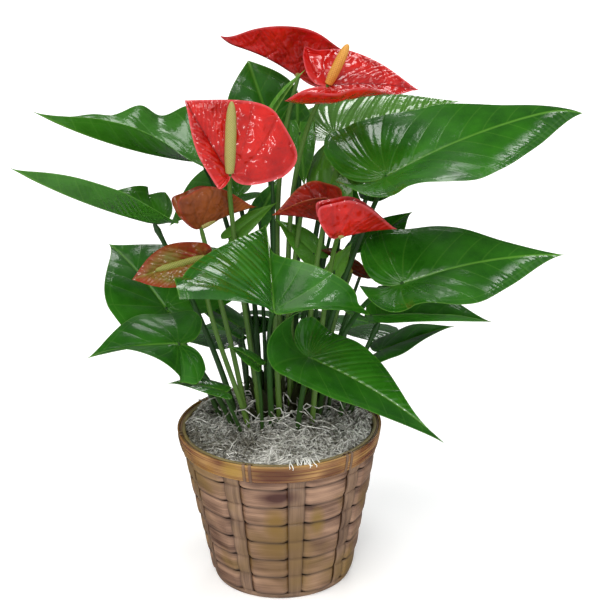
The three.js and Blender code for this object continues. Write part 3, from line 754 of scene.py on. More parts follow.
# The blade as one thin closed sheet: two grids laid on its halves, joined along the midrib.
def makeBlade(name, blade):
    s = blade.s
    rows, columns = s["lobeRows"] + s["rows"], s["columns"]
    notchEnd = s["lobe"] / (1 + s["lobe"])
    stations = np.r_[notchEnd * (np.arange(s["lobeRows"]) / s["lobeRows"]) ** 1.7,
                     lerp(notchEnd, 1, np.arange(s["rows"] + 1) / s["rows"])]
    halves = []
    for side in (-1, 1):
        half, row, column = addGrid(rows, columns, name)
        if side > 0:
            column = columns - column
        x = stations[row.astype(int)]
        a = np.where(row == s["lobeRows"], 0, x * (1 + s["lobe"]) - s["lobe"])
        notch, margin = blade.edges(x, side)
        inner = np.where(a < 0, notch, 0)
        b = lerp(inner, margin, (column / columns) ** 0.9)
        gaps = blade.marginGaps(a, b, side)
        placeVertices(half, blade.at(a, b, side, gaps))
        count, spacing, far = blade.veins(a, b)
        setAttribute(half, "veins", np.c_[count, spacing, far])
        setAttribute(half, "edges", np.c_[np.where(a < 0, np.hypot(a * blade.length, b), b), gaps, a])
        setAttribute(half, "tone", lerp(*both(s["tone"]), np.clip(a, 0, 1)), "FLOAT")
        gloss = blade.value("gloss", side) * lerp(1, s["glossTip"], np.clip(a * 2.2, 0, 1))
        if side > 0:
            gloss = np.maximum(gloss, s["edgeGloss"] * ease((a - 0.35) / 0.25) * ease(1.3 - gaps / 14))
        setAttribute(half, "gloss", gloss, "FLOAT")
        halves.append(half)
    piece = joinPieces(halves, name)
    mergeDoubles(piece, 0.03)
    gaps = np.empty(len(piece.data.vertices) * 3, dtype=np.float32)
    piece.data.attributes["edges"].data.foreach_get("vector", gaps)
    body = piece.vertex_groups.new(name="body")
    for index, gap in enumerate(gaps.reshape(-1, 3)[:, 1]):
        body.add([index], float(lerp(0.3, 1, ease(gap / 7))), "REPLACE")
    applyModifier(piece, "SOLIDIFY", thickness=s["thickness"] * mm, offset=0, material_offset=1,
                  vertex_group="body", use_quality_normals=True)
    piece.vertex_groups.clear()
    smoothShade(piece, 60)
    return piece


# Each leaf: where its stem leaves the soil, where the stem meets the blade, the blade's tip and its
# width, in mm, and what else differs from bladeDefaults. The names are the nodes' own.
leaves = {
    "leaf_upper_right": {
        "foot": [14, -4], "joint": [91, -10, 353], "tip": [251, 30, 390], "width": 120, "lobe": 0.32,
        "curl": 25, "fold": [36, 14], "foldTip": [0, -50], "cup": 10, "lift": 60, "wave": 2,
        "point": [1.1, 0.95],
    },
    "leaf_upper_right_back": {
        "foot": [9, 12], "joint": [52, 62, 364], "tip": [158, 112, 380], "width": 112, "droop": 14,
        "fold": [16, -6], "roll": 4, "lift": [40, -70], "back": [1, 1.7],
    },
    "leaf_middle_right": {
        "foot": [27, 2], "joint": [101, -60, 280], "tip": [229, -45, 296], "width": 108, "lobe": 0.32,
        "droop": 22, "fold": [38, 8], "foldTip": [5, -45], "cup": 10, "lift": 60, "wave": 2,
        "arrive": [0.7, -0.65, 0.31], "upright": 0.8,
    },
    "leaf_under_right": {
        "foot": [39, -4], "joint": [84, 4, 222], "tip": [176, -6, 225], "width": 76, "lobe": 0.2,
        "droop": 8, "fold": [40, 40], "lift": 50,
    },
    "leaf_low_right": {
        "foot": [44, 5], "joint": [86, 16, 192], "tip": [147, 11, 215], "width": 56, "lobe": 0.15,
        "droop": 10,
    },
    "leaf_front_right": {
        "foot": [12, -16], "joint": [26, -52, 215], "tip": [129, -115, 168], "width": [70, 93],
        "rear": [0.5, 0.3], "widest": [0.34, 0.36], "point": [2.6, 1], "back": [0.85, 1.6], "droop": 22,
        "fold": [24, 10], "cup": 10, "lift": [70, 200],
    },
    "leaf_front": {
        "foot": [-6, -10], "joint": [-1, -88, 271], "tip": [-6, -22, 319], "width": [150, 130],
        "lobe": 0.14, "widest": [0.24, 0.16], "point": [1.3, 5], "fold": [50, 29], "foldTip": [20, 80],
        "cup": 50, "lift": [100, 40], "droop": 24, "arrive": [0.15, -0.72, 0.65],
    },
    "leaf_upper_left": {
        "foot": [-14, 3], "joint": [-56, 16, 360], "tip": [-187, -4, 410], "width": [90, 116],
        "droop": -22, "lobe": 0.28, "fold": [12, 34], "foldTip": [84, 20], "cup": 10, "lift": 60,
        "wave": [0, 5], "waves": 3.2,
    },
    "leaf_left": {
        "foot": [-27, 0], "joint": [-97, 4, 312], "tip": [-203, -40, 375], "width": [88, 74],
        "droop": -14, "lobe": 0.14, "back": [1, 1.7], "fold": [24, 16], "foldTip": [78, 10],
        "foldEase": 1.6, "cup": 10, "lift": [70, 130], "wave": [3, 14], "waves": 1, "phase": [0, 1.57],
    },
    "leaf_left_inner": {
        "foot": [-14, 22], "joint": [-30, 50, 320], "tip": [-88, 46, 296], "width": [48, 84],
        "fold": [10, 38], "widest": 0.42,
    },
    "leaf_round_left": {
        "foot": [-39, 8], "joint": [-92, 8, 238], "tip": [-140, 58, 277], "width": [98, 130],
        "lobe": 0.28, "fold": [12, 24],
    },
    "leaf_low_left": {
        "foot": [-27, -8], "joint": [-79, -48, 228], "tip": [-149, -73, 228], "width": [62, 88],
        "lobe": 0.4, "fold": [-45, 24], "foldTip": [45, 24], "foldEase": 0.5, "lift": [-30, 30],
        "arrive": [-0.4, -0.6, 0.7],
    },
    "leaf_inner_left": {
        "thin": True, "foot": [-28, 24], "joint": [-32, 30, 210], "tip": [-80, 34, 237], "width": 48,
        "lobe": 0.1,
    },
    "leaf_base_left": {
        "thin": True, "foot": [-24, -14], "joint": [-44, -49, 186.5], "tip": [-88, -52, 196], "width": 31,
        "lobe": 0.15,
    },
    "leaf_small_centre": {
        "thin": True, "foot": [-14, -20], "joint": [-18, -36, 206], "tip": [-40, -30, 218], "width": 22,
    },
    "leaf_top_back": {
        "foot": [0, 18], "joint": [-4, 60, 383], "tip": [-19, 75, 428], "width": 60, "up": [0, -1, 0.4],
        "widest": 0.42, "point": 1,
    },
    "leaf_young": {
        "thin": True, "foot": [-7, 9], "joint": [-3, 15, 390], "tip": [27, 20, 433], "width": 14,
        "lobe": 0.1, "fold": 50, "colour": "young",
    },
    "leaf_hanging": {
        "thin": True, "foot": [19, 17], "joint": [57, 36, 326], "tip": [75, 51, 290], "width": 34,
        "up": [-0.6, -0.6, 0.4],
    },
    "leaf_right_back": {
        "thin": True, "foot": [28, 24], "joint": [80, 40, 277], "tip": [116, 70, 296], "width": 46,
    },
    "leaf_small_right": {
        "thin": True, "foot": [38, 10], "joint": [60, 12, 227], "tip": [84, 22, 212], "width": 24,
        "lobe": 0.1,
    },
    "leaf_left_back": {
        "thin": True, "foot": [-12, 43], "joint": [-30, 62, 246], "tip": [-60, 80, 266], "width": 36,
    },
    "leaf_back_low_left": {
        "foot": [-24, 36], "joint": [-34, 66, 190], "tip": [-88, 118, 166], "width": 84, "droop": 30,
    },
    "leaf_back_low_right": {
        "foot": [27, 32], "joint": [58, 74, 188], "tip": [100, 128, 166], "width": 78, "lobe": 0.2,
        "droop": 30,
    },
    "leaf_back_centre": {
        "foot": [3, 30], "joint": [4, 72, 204], "tip": [8, 138, 166], "width": 72, "lobe": 0.2,
        "droop": 30,
    },
    "leaf_back_right": {
        "foot": [16, 27], "joint": [82, 80, 322], "tip": [158, 132, 330], "width": 86, "droop": 25,
    },
}

# Leaves whose look isn't the usual one: the tone is how far the green goes to the pale one, partly
# their own paler colour and partly painted sheen, or below 0 to a dark one as painted shade, at the
# joint and at the tip; the gloss is for the two halves.
leafSkinsAndPaintedLight = {
    "leaf_upper_right": {"tone": (0.05, -0.45), "gloss": 1.2, "glossTip": 0, "edgeGloss": 1.8, "puff": 0.7},
    "leaf_upper_right_back": {"tone": 0.4, "gloss": 1.8, "puff": 1.3},
    "leaf_middle_right": {"tone": (-0.25, -0.4), "gloss": 1.1, "glossTip": 0, "edgeGloss": 1.6},
    "leaf_under_right": {"gloss": 0.5},
    "leaf_low_right": {"gloss": 0.6},
    "leaf_front_right": {"gloss": (1.8, 0.45), "glossTip": 0.8, "puff": 0.4},
    "leaf_front": {"tone": (-0.2, -0.1), "gloss": (1.8, 0.7), "puff": 0.8},
    "leaf_upper_left": {"tone": 0.08, "gloss": 0.8},
    "leaf_left": {"tone": 0.1, "gloss": 1.2, "puff": 0.1, "ripple": 0.1},
    "leaf_left_inner": {"tone": 0.1},
    "leaf_round_left": {"tone": -0.1, "gloss": 0.6},
    "leaf_low_left": {"gloss": 0.45},
    "leaf_top_back": {"tone": -0.25, "gloss": 0.5},
    "leaf_hanging": {"tone": -0.2},
    "leaf_small_right": {"gloss": 0.5},
}
# A small leaf, thin of stem, has a coarser mesh and finer veins.
smallLeaf = {"rows": 34, "lobeRows": 8, "columns": 9, "veinSpace": 9, "puff": 0.5, "ripple": 0.25}


# A blade and its petiole, to be joined.
def makeLeaf(name, settings, steps=36):
    thin, young = settings.get("thin"), settings.get("colour") == "young"
    blade = Blade(name, {**(smallLeaf if thin else {}), **leafSkinsAndPaintedLight.get(name, {}), **settings})
    sheet = makeBlade(name + "Blade", blade)
    top = leafMaterials["youngLeaf" if young else "glossyLeaf"]
    giveMaterials(sheet, top, leafMaterials["leafUnderside"])
    outward = unit(np.array([*blade.joint[:2], 0]))
    arrive = np.array(settings.get("arrive", outward * stem["lean"] + upward), float)
    points = stemPoints(settings["foot"], blade.joint, unit(arrive), settings.get("upright", 0.5), steps)
    radii, knee = (stem["thin"], 0) if thin else (stem["petiole"], stem["knee"])
    petiole = makeStem(name + "Petiole", points, radii, knee)
    giveMaterials(petiole, stalks["petioleSkin"])
    return [sheet, petiole]


for leafName, leafSettings in leaves.items():
    leaf = joinPieces(makeLeaf(leafName, leafSettings), leafName + "Dressed")
    finishPiece(leaf, leafName)
print("leaves made:", len(leaves))

# Each bloom: its stalk's foot, the joint of stalk, spathe and spadix, the spathe's tip and the spadix.
blooms = {
    "bloom_top_left": {
        "foot": [3, 7], "joint": [22, 45, 421], "tip": [-39, 25, 461], "width": 84, "lobe": 0.42,
        "fold": [75, 25], "point": [1.1, 1.35], "back": [1.25, 1], "droop": 26, "curl": -40,
        "colour": "scarlet", "spadix": {"length": 36, "radius": 3.4, "toward": [-0.5, 0.4, 0.8]},
    },
    "bloom_top_right": {
        "foot": [8, 0], "joint": [45, 0, 425], "tip": [118, 15, 416], "width": 78, "lobe": 0.34,
        "back": [1, 1.5], "roll": 10, "fold": [32, -50], "foldTip": [32, -20], "cup": [20, -130],
        "lift": [50, 20], "arrive": [0.5, -0.2, 0.85], "colour": "scarlet",
        "spadix": {"length": 36, "radius": 4, "toward": [0.45, 0, 0.9], "colour": "orange"},
    },
    "bloom_left": {
        "foot": [-13, -6], "joint": [-33, -45, 368], "tip": [-66, -35, 425], "width": [30, 112],
        "lobe": 0.25, "back": [0.3, 1.5], "widest": [0.4, 0.42], "point": [1.2, 1], "fold": [40, 0],
        "up": [0, -1, 0.2], "colour": "scarlet",
        "spadix": {"length": 60, "radius": 4.4, "toward": [0.06, -0.1, 1]},
    },
    "bloom_bronze": {
        "foot": [-22, -8], "joint": [-58, -23, 317], "tip": [-14, -8, 329], "width": 66, "lobe": 0.2,
        "fold": [25, 60], "cup": -40, "colour": "bronze",
        "spadix": {"length": 24, "radius": 3, "toward": [0.8, 0.4, 0.4]},
    },
    "bloom_bud_left": {
        "foot": [-18, -17], "joint": [-54, -46, 299.5], "tip": [-111, -66, 290.5], "width": [54, 36],
        "lobe": 0.1, "fold": 25, "rear": 0.35, "widest": 0.48, "point": 1.1, "cup": -20,
        "up": [0, -0.8, 0.6], "colour": "crimson",
        "spadix": {"length": 42, "radius": 4, "toward": [-0.95, -0.35, -0.1]},
    },
    "bloom_cupped": {
        "foot": [19, 5], "joint": [40, -13, 316.7], "tip": [-1, -29, 328.7], "width": 64,
        "fold": [58, 68], "colour": "crimson",
        "spadix": {"length": 24, "radius": 3, "toward": [-0.8, 0, 0.6]},
    },
    "bloom_bright": {
        "foot": [24, -16], "joint": [50, -46, 314], "tip": [97, -41, 319], "width": 60, "lobe": 0.2,
        "fold": [50, 60], "cup": -40, "arrive": [0.1, -0.75, 0.6], "colour": "scarlet",
        "spadix": {"length": 22, "radius": 3, "toward": [0.8, 0.4, 0.4]},
    },
    "bloom_bud_right": {
        "foot": [28, 14], "joint": [62, 18, 262], "tip": [36, 8, 286], "width": 36, "fold": 40,
        "colour": "crimson", "spadix": {"length": 24, "radius": 3.4, "toward": [-0.4, -0.3, 0.8]},
    },
}
bloomSizes = {
    "thickness": 1.0, "rear": 0.6, "rows": 48, "veinSpace": 7, "veinAngle": 30, "veinBend": 0.008,
    "puff": 0.8, "ripple": 0.35,
}
spadixShape = {"segments": 72, "rings": 120, "floret": 2.1, "relief": 0.15, "gap": 0.3}


def makeSpadix(name, settings, base, axis):
    deselectAll()
    bpy.ops.mesh.primitive_uv_sphere_add(
        segments=spadixShape["segments"], ring_count=spadixShape["rings"], radius=1)
    spadix = bpy.context.object
    spadix.name = name
    spots = coordinates(spadix)
    turn = np.arctan2(spots[:, 1], spots[:, 0])
    h = np.clip(np.arccos(np.clip(-spots[:, 2], -1, 1)) / math.pi, 0, 1)
    length, radius = settings["length"], settings["radius"]
    foot = lerp(0.72, 1, np.sin(np.clip(h / 0.3, 0, 1) * math.pi / 2)) * ease(h / 0.02)
    tip = np.sqrt(np.maximum(0, 1 - np.clip((h - 0.3) / 0.7, 0, 1) ** 4))
    around = round(2 * math.pi * radius / spadixShape["floret"])
    along = 2 * math.pi * round(length / spadixShape["floret"])
    floret = 0.5 + 0.5 * np.cos(around * turn) * np.cos(along * h)
    r = radius * foot * tip + spadixShape["relief"] * (floret - 0.6) * np.minimum(foot, tip)
    turned = np.c_[r * np.cos(turn), r * np.sin(turn), h * length]
    toAxis = Vector((0, 0, 1)).rotation_difference(Vector(axis)).to_matrix()
    placeVertices(spadix, turned @ np.array(toAxis).T + base)
    setAttribute(spadix, "floret", floret, "FLOAT")
    bpy.ops.object.shade_smooth()
    return spadix


def makeBloom(name, settings):
    blade = Blade(name, {**bloomSizes, **settings})
    spathe = makeBlade(name + "SpatheDressed", blade)
    colour, spadixSettings = settings["colour"], settings["spadix"]
    giveMaterials(spathe, spathes[bloomSkins.get(name, colour)], spathes[colour + "Under"])
    finishPiece(spathe, name + "_spathe")
    seat = blade.joint + blade.above * blade.s["thickness"] / 2
    arrive = np.array(settings.get("arrive", lerp(blade.above, upward, 0.5)), float)
    points = stemPoints(settings["foot"], seat, unit(arrive), 0.5, 36)
    stalk = makeStem(name + "StalkDressed", points, stem["stalk"])
    giveMaterials(stalk, stalks["stalkSkin"])
    finishPiece(stalk, name + "_stalk")
    axis = unit(np.array(spadixSettings["toward"], float))
    spadix = makeSpadix(name + "SpadixDressed", spadixSettings, seat + axis * spadixShape["gap"], axis)
    skin = spadixSettings.get("colour", "green" if name in bloomSkins else "spadix")
    giveMaterials(spadix, spadixSkins[skin])
    finishPiece(spadix, name + "_spadix")


for bloomName, bloomSettings in blooms.items():
    makeBloom(bloomName, bloomSettings)
print("blooms made:", len(blooms))


# Small inner leaves and two stems that fill the heart of the clump; tones below 0 darken some of them as
# painted shade, tones above 0 make others paler.
innerLeaves = {
    "innerTop": {
        "foot": [10, 22], "joint": [20, 44, 372], "tip": [21, 46, 410], "width": 30, "tone": -0.5,
        "up": [0, -0.9, 0.3],
    },
    "innerUpper": {
        "foot": [12, 24], "joint": [22, 40, 376], "tip": [25, 34, 331], "width": 24, "tone": 0.1,
        "up": [0, -0.9, 0.4],
    },
    "innerPale": {
        "foot": [22, 18], "joint": [55, 22, 329], "tip": [53, 24, 360], "width": 19, "tone": 0.6,
        "up": [0.2, -0.9, 0.3],
    },
    "innerDark": {
        "foot": [20, 24], "joint": [42, 52, 326], "tip": [44, 54, 356], "width": 24, "tone": -1,
        "up": [0, -0.9, 0.3],
    },
    "innerArc": {
        "foot": [-10, 4], "joint": [-31, -8, 307], "tip": [3, -4, 331], "width": 17, "tone": 0.4,
        "up": [0, -0.6, 0.8],
    },
    "innerLeft": {
        "foot": [-10, 20], "joint": [-12, 34, 308], "tip": [5, 36, 340], "width": 20,
        "up": [0, -0.9, 0.4],
    },
    "innerMiddle": {
        "foot": [8, 6], "joint": [31, 8, 283], "tip": [0, 9, 313], "width": 26, "tone": 0.3,
        "up": [0, -0.6, 0.8],
    },
    "innerRight": {
        "foot": [24, 6], "joint": [48, -2, 271], "tip": [63, 0, 294], "width": 15, "tone": 0.6,
        "up": [0, -0.8, 0.5],
    },
}
innerStems = {
    "front": ([1, -13], [2, -34, 286], [0.1, -0.6, 0.7]),
    "middle": ([9, 4], [22, 2, 318], [0.2, 0, 1]),
}


def makeInner():
    parts = []
    for name, settings in innerLeaves.items():
        parts += makeLeaf(name, {"thin": True, "gloss": 0.5, "arrive": upward, **settings}, 24)
    for name, (foot, end, arrive) in innerStems.items():
        points = stemPoints(foot, np.array(end, float), unit(np.array(arrive, float)), 0.5, 24)
        part = makeStem(name + "InnerStem", points, stem["petiole"])
        giveMaterials(part, stalks["stalkSkin"])
        parts.append(part)
    finishPiece(joinPieces(parts, "innerLeaves"), None)


makeInner()
print("inner leaves made")


# Old sheaths round the feet of the stems, where new leaves break out, coloured near black as painted shade
# among the stems.
crown = {
    "count": 42, "middle": (2, 14), "reach": (40, 26), "height": (24, 72), "width": (7, 12), "seed": 3,
    "lean": 0.22, "bottom": 124, "thickness": 0.6, "grid": (12, 4),
}


def makeCrown():
    chance = random.Random(crown["seed"])
    sheaths = []
    for i in range(crown["count"]):
        rows, columns = crown["grid"]
        piece, row, column = addGrid(rows, columns, f"sheath{i}")
        share = math.sqrt((i + 0.5) / crown["count"])
        turn = i * 2.4
        outward = np.array([math.cos(turn), math.sin(turn), 0])
        aside = np.array([-outward[1], outward[0], 0])
        foot = np.array([*crown["middle"], crown["bottom"]])
        foot = foot + outward * np.array([*crown["reach"], 0]) * share
        height = chance.uniform(*crown["height"]) * (1.15 - 0.5 * share)
        half = chance.uniform(*crown["width"]) / 2
        t, u = row / rows, column / columns * 2 - 1
        width = half * np.sqrt(np.maximum(1 - t ** 2.2, 0.01))
        out = crown["lean"] * height * t ** 2 - 1.6 * u * u * (1 - t)
        points = foot + out[:, None] * outward + (width * u)[:, None] * aside
        points[:, 2] += t * height
        placeVertices(piece, points)
        applyModifier(piece, "SOLIDIFY", thickness=crown["thickness"] * mm, offset=0)
        sheaths.append(piece)
    whole = joinPieces(sheaths, "crownSheaths")
    smoothShade(whole, 60)
    giveMaterials(whole, stalks["sheathPaintedShade"])
    finishPiece(whole, None)


makeCrown()
print("crown made")


# The basket: seven weavers that pass over the hidden stakes and behind the nine that show.
basket = {
    "baseRadius": 57.5, "lean": 0.19, "height": 135, "firstRow": 5.3, "rowHeight": 17.7, "rows": 7,
    "periods": 9, "azimuth": 280, "stripThick": 1.0,
}
weaver = {
    "grid": (234, 8), "over": 1.9, "behind": -1.1, "crown": 0.7, "tilt": 0.35, "gap": 0.15,
    "rise": (4.6, 9.0),  # from behind to over a stake, in degrees from its middle
    "squeeze": 0.9, "squeezeReach": (3, 12),  # how much narrower it is at a stake, and how near
    "wobble": ((4, 2.1, 0.22), (9, 1, 0.15)),  # waves round the basket, shift to the next row, size
    "tuck": 3.5,  # how far the hoop covers the top weaver
}
stake = {
    "grid": (96, 8), "half": 5.2, "bottom": 0.4, "short": 3.4, "face": 0.9, "hiddenFace": -0.4,
    "wave": 0.35, "crown": 0.45,
    "groove": (1.1, 118),  # its half-width between two rows, and the height where the last one is
    "footTuck": (3.5, 2.2), "topTuck": (117, 3, 0.9),  # how it bends in under the floor and the hoop
}
# Bands round the basket: off the wall, thickness, bottom, top, rounding, and the number of the grain.
bands = {
    "foot": (-2.4, 2.6, 0.2, 4.6, 0.9, 41),
    "filler": (-1.2, 1.6, 128, 134, 0.6, 43),
    "outer": (0.5, 2, 119, 135, 0.7, 61),
    "inner": (-4.3, 3.0, 118.5, 134.5, 0.7, 67),
}
hoop = {"radius": 85, "segments": 144, "cornerSteps": 4, "faceSteps": 9, "bulge": 0.25}
# The loop is a tie's way round the hoop, as mm off the wall and height.
tie = {
    "pairs": 6, "azimuth": 252, "width": 2.6, "spread": 1.75, "thick": 0.6, "crown": 0.25,
    "grid": (24, 6),
    "loop": [[2.1, 118.6], [2.9, 119.6], [3.3, 124], [3.3, 130], [2.9, 134.2], [2.2, 135.4], [1.2, 135.7],
             [-0.6, 135.6], [-1.6, 134.6], [-1.8, 130]],
}
floorStrip = {
    "width": 11.5, "gap": 0.6, "inside": 2.6, "level": 1.5, "wave": 0.75, "thick": 0.7, "grid": (60, 2),
    "eachSide": 4, "shortest": 4,
}


def wallRadius(z):
    return basket["baseRadius"] + basket["lean"] * z


def spin(radius, azimuth, z):
    return np.c_[radius * np.cos(azimuth), radius * np.sin(azimuth), z]


# What the bamboo material reads: mm along a strip, mm across it and its number, and how dark its edge is,
# from wear and painted shade.
def stripAttributes(piece, along, across, number, rim):
    setAttribute(piece, "strip", np.c_[along, across, np.full(len(along), number)])
    setAttribute(piece, "rim", np.clip(rim, 0, 1), "FLOAT")


# How far a weaver stands off the wall's line, and how near it is to a stake that shows.
def weaverFace(azimuth, number):
    period = 360 / basket["periods"]
    off = np.abs((azimuth - basket["azimuth"] + period / 2) % period - period / 2)
    low, high = weaver["rise"]
    over = ease((off - low) / (high - low))
    turn = np.radians(azimuth)
    wobble = sum(size * np.sin(turn * waves + number * shift) for waves, shift, size in weaver["wobble"])
    return lerp(weaver["behind"], weaver["over"] + wobble, over), over, off


def makeWeaver(number):
    columns, rows = weaver["grid"]
    piece, column, row = addGrid(columns, rows, f"weaver{number}")
    azimuth = column / columns * 360
    face, over, off = weaverFace(azimuth, number)
    v = row / rows * 2 - 1
    near, far = weaver["squeezeReach"]
    half = basket["rowHeight"] / 2 - weaver["gap"] - weaver["squeeze"] * (1 - ease((off - near) / far))
    middle = basket["firstRow"] + basket["rowHeight"] * (number + 0.5)
    if number == basket["rows"] - 1:
        middle, half = middle - weaver["tuck"], half - weaver["tuck"]
    z = middle + v * half
    radius = wallRadius(z) + face - weaver["crown"] * np.abs(v) ** 3.5 - weaver["tilt"] * v
    placeVertices(piece, spin(radius, np.radians(azimuth), z))
    # darker at the row's edges and where it goes behind a stake: painted shade, with some wear
    edge = 0.6 * ease((np.abs(v) - 0.93) / 0.07) + 0.5 * (1 - ease((over - 0.02) / 0.35))
    stripAttributes(piece, np.radians(azimuth) * wallRadius(z), z, number * 1.7, edge)
    mergeDoubles(piece)
    applyModifier(piece, "SOLIDIFY", thickness=basket["stripThick"] * mm, offset=-1)
    return piece


def makeStake(number, hidden):
    rows, columns = stake["grid"]
    piece, row, column = addGrid(rows, columns, f"stake{number}")
    period = 360 / basket["periods"]
    centre = basket["azimuth"] + number * period + (period / 2 if hidden else 0)
    u = 1 - column / columns * 2
    azimuth = np.radians(centre + u * stake["half"])
    z = stake["bottom"] + row / rows * (basket["height"] - stake["short"])
    level = (z - basket["firstRow"]) / basket["rowHeight"]
    gap = np.abs(level - np.rint(level)) * basket["rowHeight"]
    grooveHalf, lastGroove = stake["groove"]
    groove = np.exp(-(gap / grooveHalf) ** 2) * (z < lastGroove)
    wave = stake["wave"] * np.cos(level * 2 * math.pi + math.pi)
    face = stake["hiddenFace"] if hidden else stake["face"] + wave - groove
    radius = wallRadius(z) + face - stake["crown"] * np.abs(u) ** 3
    footHeight, footIn = stake["footTuck"]
    topHeight, topSpan, topIn = stake["topTuck"]
    radius = radius - footIn * ease(1 - z / footHeight) - topIn * ease((z - topHeight) / topSpan)
    placeVertices(piece, spin(radius, azimuth, z))
    # darker at the stake's sides and in the grooves between rows: painted shade, with some wear
    edge = 0.5 * ease((np.abs(u) - 0.9) / 0.1) + 0.35 * groove
    stripAttributes(piece, z + number * 31, u * 6.5, 20 + number * 1.3, edge)
    applyModifier(piece, "SOLIDIFY", thickness=basket["stripThick"] * mm, offset=-1)
    return piece


# The closed section of a band, as [mm off the wall, height] pairs: corners rounded, a full face.
def bandSection(inner, depth, bottom, top, soft):
    steps = np.linspace(0, math.pi / 2, hoop["cornerSteps"])
    outer = inner + depth
    section = [[inner, bottom + soft], [inner, top - soft]]
    section += [[inner + soft * (1 - math.cos(t)), top - soft + soft * math.sin(t)] for t in steps[1:]]
    middle = np.linspace(0, 1, hoop["faceSteps"])[1:-1]
    full = outer + hoop["bulge"] * np.sin(math.pi * middle)
    section += [[outer - soft + soft * math.sin(t), top - soft + soft * math.cos(t)] for t in steps]
    section += [[x, lerp(top - soft, bottom + soft, m)] for x, m in zip(full, middle)]
    section += [[outer - soft + soft * math.cos(t), bottom + soft - soft * math.sin(t)] for t in steps]
    section += [[inner + soft * (1 - math.sin(t)), bottom + soft - soft * math.cos(t)] for t in steps[:-1]]
    return np.array(section[::-1], float)


def makeBand(name, kind):
    *shape, number = bands[kind]
    section = bandSection(*shape)
    rows, segments = len(section), hoop["segments"]
    piece, column, row = addGrid(segments, rows, name)
    off, z = section[row.astype(int) % rows].T
    azimuth = column / segments * 2 * math.pi
    placeVertices(piece, spin(wallRadius(z) + off, azimuth, z))
    stripAttributes(piece, azimuth * (hoop["radius"] - 1), z + off, number, np.zeros(len(z)))
    mergeDoubles(piece)
    return piece


# The woven floor: flat strips each way, cut to the round.
def makeFloor():
    strips = []
    pitch, reach = floorStrip["width"] + floorStrip["gap"], basket["baseRadius"] - floorStrip["inside"]
    rows, columns = floorStrip["grid"]
    most, shortest = floorStrip["eachSide"], floorStrip["shortest"]
    for way in (0, 1):
        for k in range(-most, most + 1):
            if abs(k * pitch) > reach - shortest:
                continue
            piece, row, column = addGrid(rows, columns, f"floorStrip{way}{k}")
            y = k * pitch + (column / columns - 0.5) * floorStrip["width"]
            x = (row / rows * 2 - 1) * np.sqrt(np.maximum(reach ** 2 - y ** 2, shortest))
            z = floorStrip["level"] + floorStrip["wave"] * np.cos(math.pi * (x / pitch + k + way))
            placeVertices(piece, np.c_[y, x, z] if way else np.c_[x, y, z])
            stripAttributes(piece, x, y, 50 + k + way * 12, np.zeros(len(x)))
            applyModifier(piece, "SOLIDIFY", thickness=floorStrip["thick"] * mm, offset=0)
            strips.append(piece)
    return strips


# A binding tie, once round the hoop's section: in front, over the top and down behind.
def makeTie(number, side):
    rows, columns = tie["grid"]
    piece, row, column = addGrid(rows, columns, f"tie{number}{side}")
    centre = math.radians(tie["azimuth"] + number * 360 / tie["pairs"] + side * tie["spread"])
    loop = np.array(tie["loop"])
    t = row / rows * (len(loop) - 1)
    off, z = [np.interp(t, np.arange(len(loop)), line) for line in loop.T]
    u = 1 - column / columns * 2
    azimuth = centre + u * tie["width"] / 2 / hoop["radius"]
    placeVertices(piece, spin(wallRadius(z) + off - tie["crown"] * np.abs(u) ** 3, azimuth, z))
    stripAttributes(piece, z, u * tie["width"] / 2, 70 + number, 0.7 * ease((np.abs(u) - 0.6) / 0.4))
    applyModifier(piece, "SOLIDIFY", thickness=tie["thick"] * mm, offset=-1)
    return piece


def makeBasket():
    wall = joinPieces([makeWeaver(i) for i in range(basket["rows"])], "weavers")
    giveMaterials(wall, bamboos["weaver"])
    strips = [makeStake(i, hidden) for hidden in (False, True) for i in range(basket["periods"])]
    strips.append(makeBand("footBand", "foot"))
    strips.append(makeBand("rimFiller", "filler"))
    strips += makeFloor()
    strips = joinPieces(strips, "stakes")
    giveMaterials(strips, bamboos["stake"])
    woven = joinPieces([wall, strips], "basketWoven")

    outer = makeBand("hoopOuter", "outer")
    giveMaterials(outer, bamboos["hoop"])
    ties = joinPieces([makeTie(i, side) for i in range(tie["pairs"]) for side in (-1, 1)], "rimTies")
    giveMaterials(ties, bamboos["stake"])
    outer = joinPieces([outer, ties], "hoopOuterDressed")

    inner = makeBand("hoopInnerDressed", "inner")
    giveMaterials(inner, bamboos["hoopInner"])
    for piece, node, slot in (
            (woven, "basket_weave", "bamboo"), (outer, "basket_rim_outer", "hoop"),
            (inner, "basket_rim_inner", "hoop")):
        smoothShade(piece, 50)
        finishPiece(piece, node)


makeBasket()
print("basket woven")


# The moss: a mat under thousands of curled threads, some of them loose round the stems; the mat is dark,
# painted shade in the gaps between the threads.
moss = {
    "radius": 77.5, "rim": 131, "dome": 7, "lumps": 2.2, "rings": 40, "sectors": 120, "thickness": 6,
    "seed": 5, "pieces": 3, "threads": 1500, "points": 12, "length": (25, 70), "thick": (0.34, 0.66),
    "sunk": 1.6, "wave": (0.6, 2.2), "low": (-1.5, 5), "high": (3, 10), "lowShare": 0.8, "bend": 0.5,
    "drift": 0.12,
}
strays = {
    "count": 60, "points": 16, "foot": (8, 52), "length": (45, 85), "rise": (8, 26), "bend": 0.35,
    "jitter": 0.3, "wave": 1.2, "sunk": 1,
}
tuft = {
    "count": 16, "points": 10, "azimuth": (284, 3.6), "start": 70, "reach": (83, 87), "level": 135,
    "drop": (0, 3), "sway": 0.05,
}


def mossHeight(r, a):
    share = np.clip(r / moss["radius"], 0, 1.1)
    lump = np.sin(a * 5 + r * 0.11) * np.cos(r * 0.19 - a * 3) + 0.6 * np.sin(a * 11 + r * 0.3)
    return moss["rim"] + moss["dome"] * (1 - share ** 2) + moss["lumps"] * lump


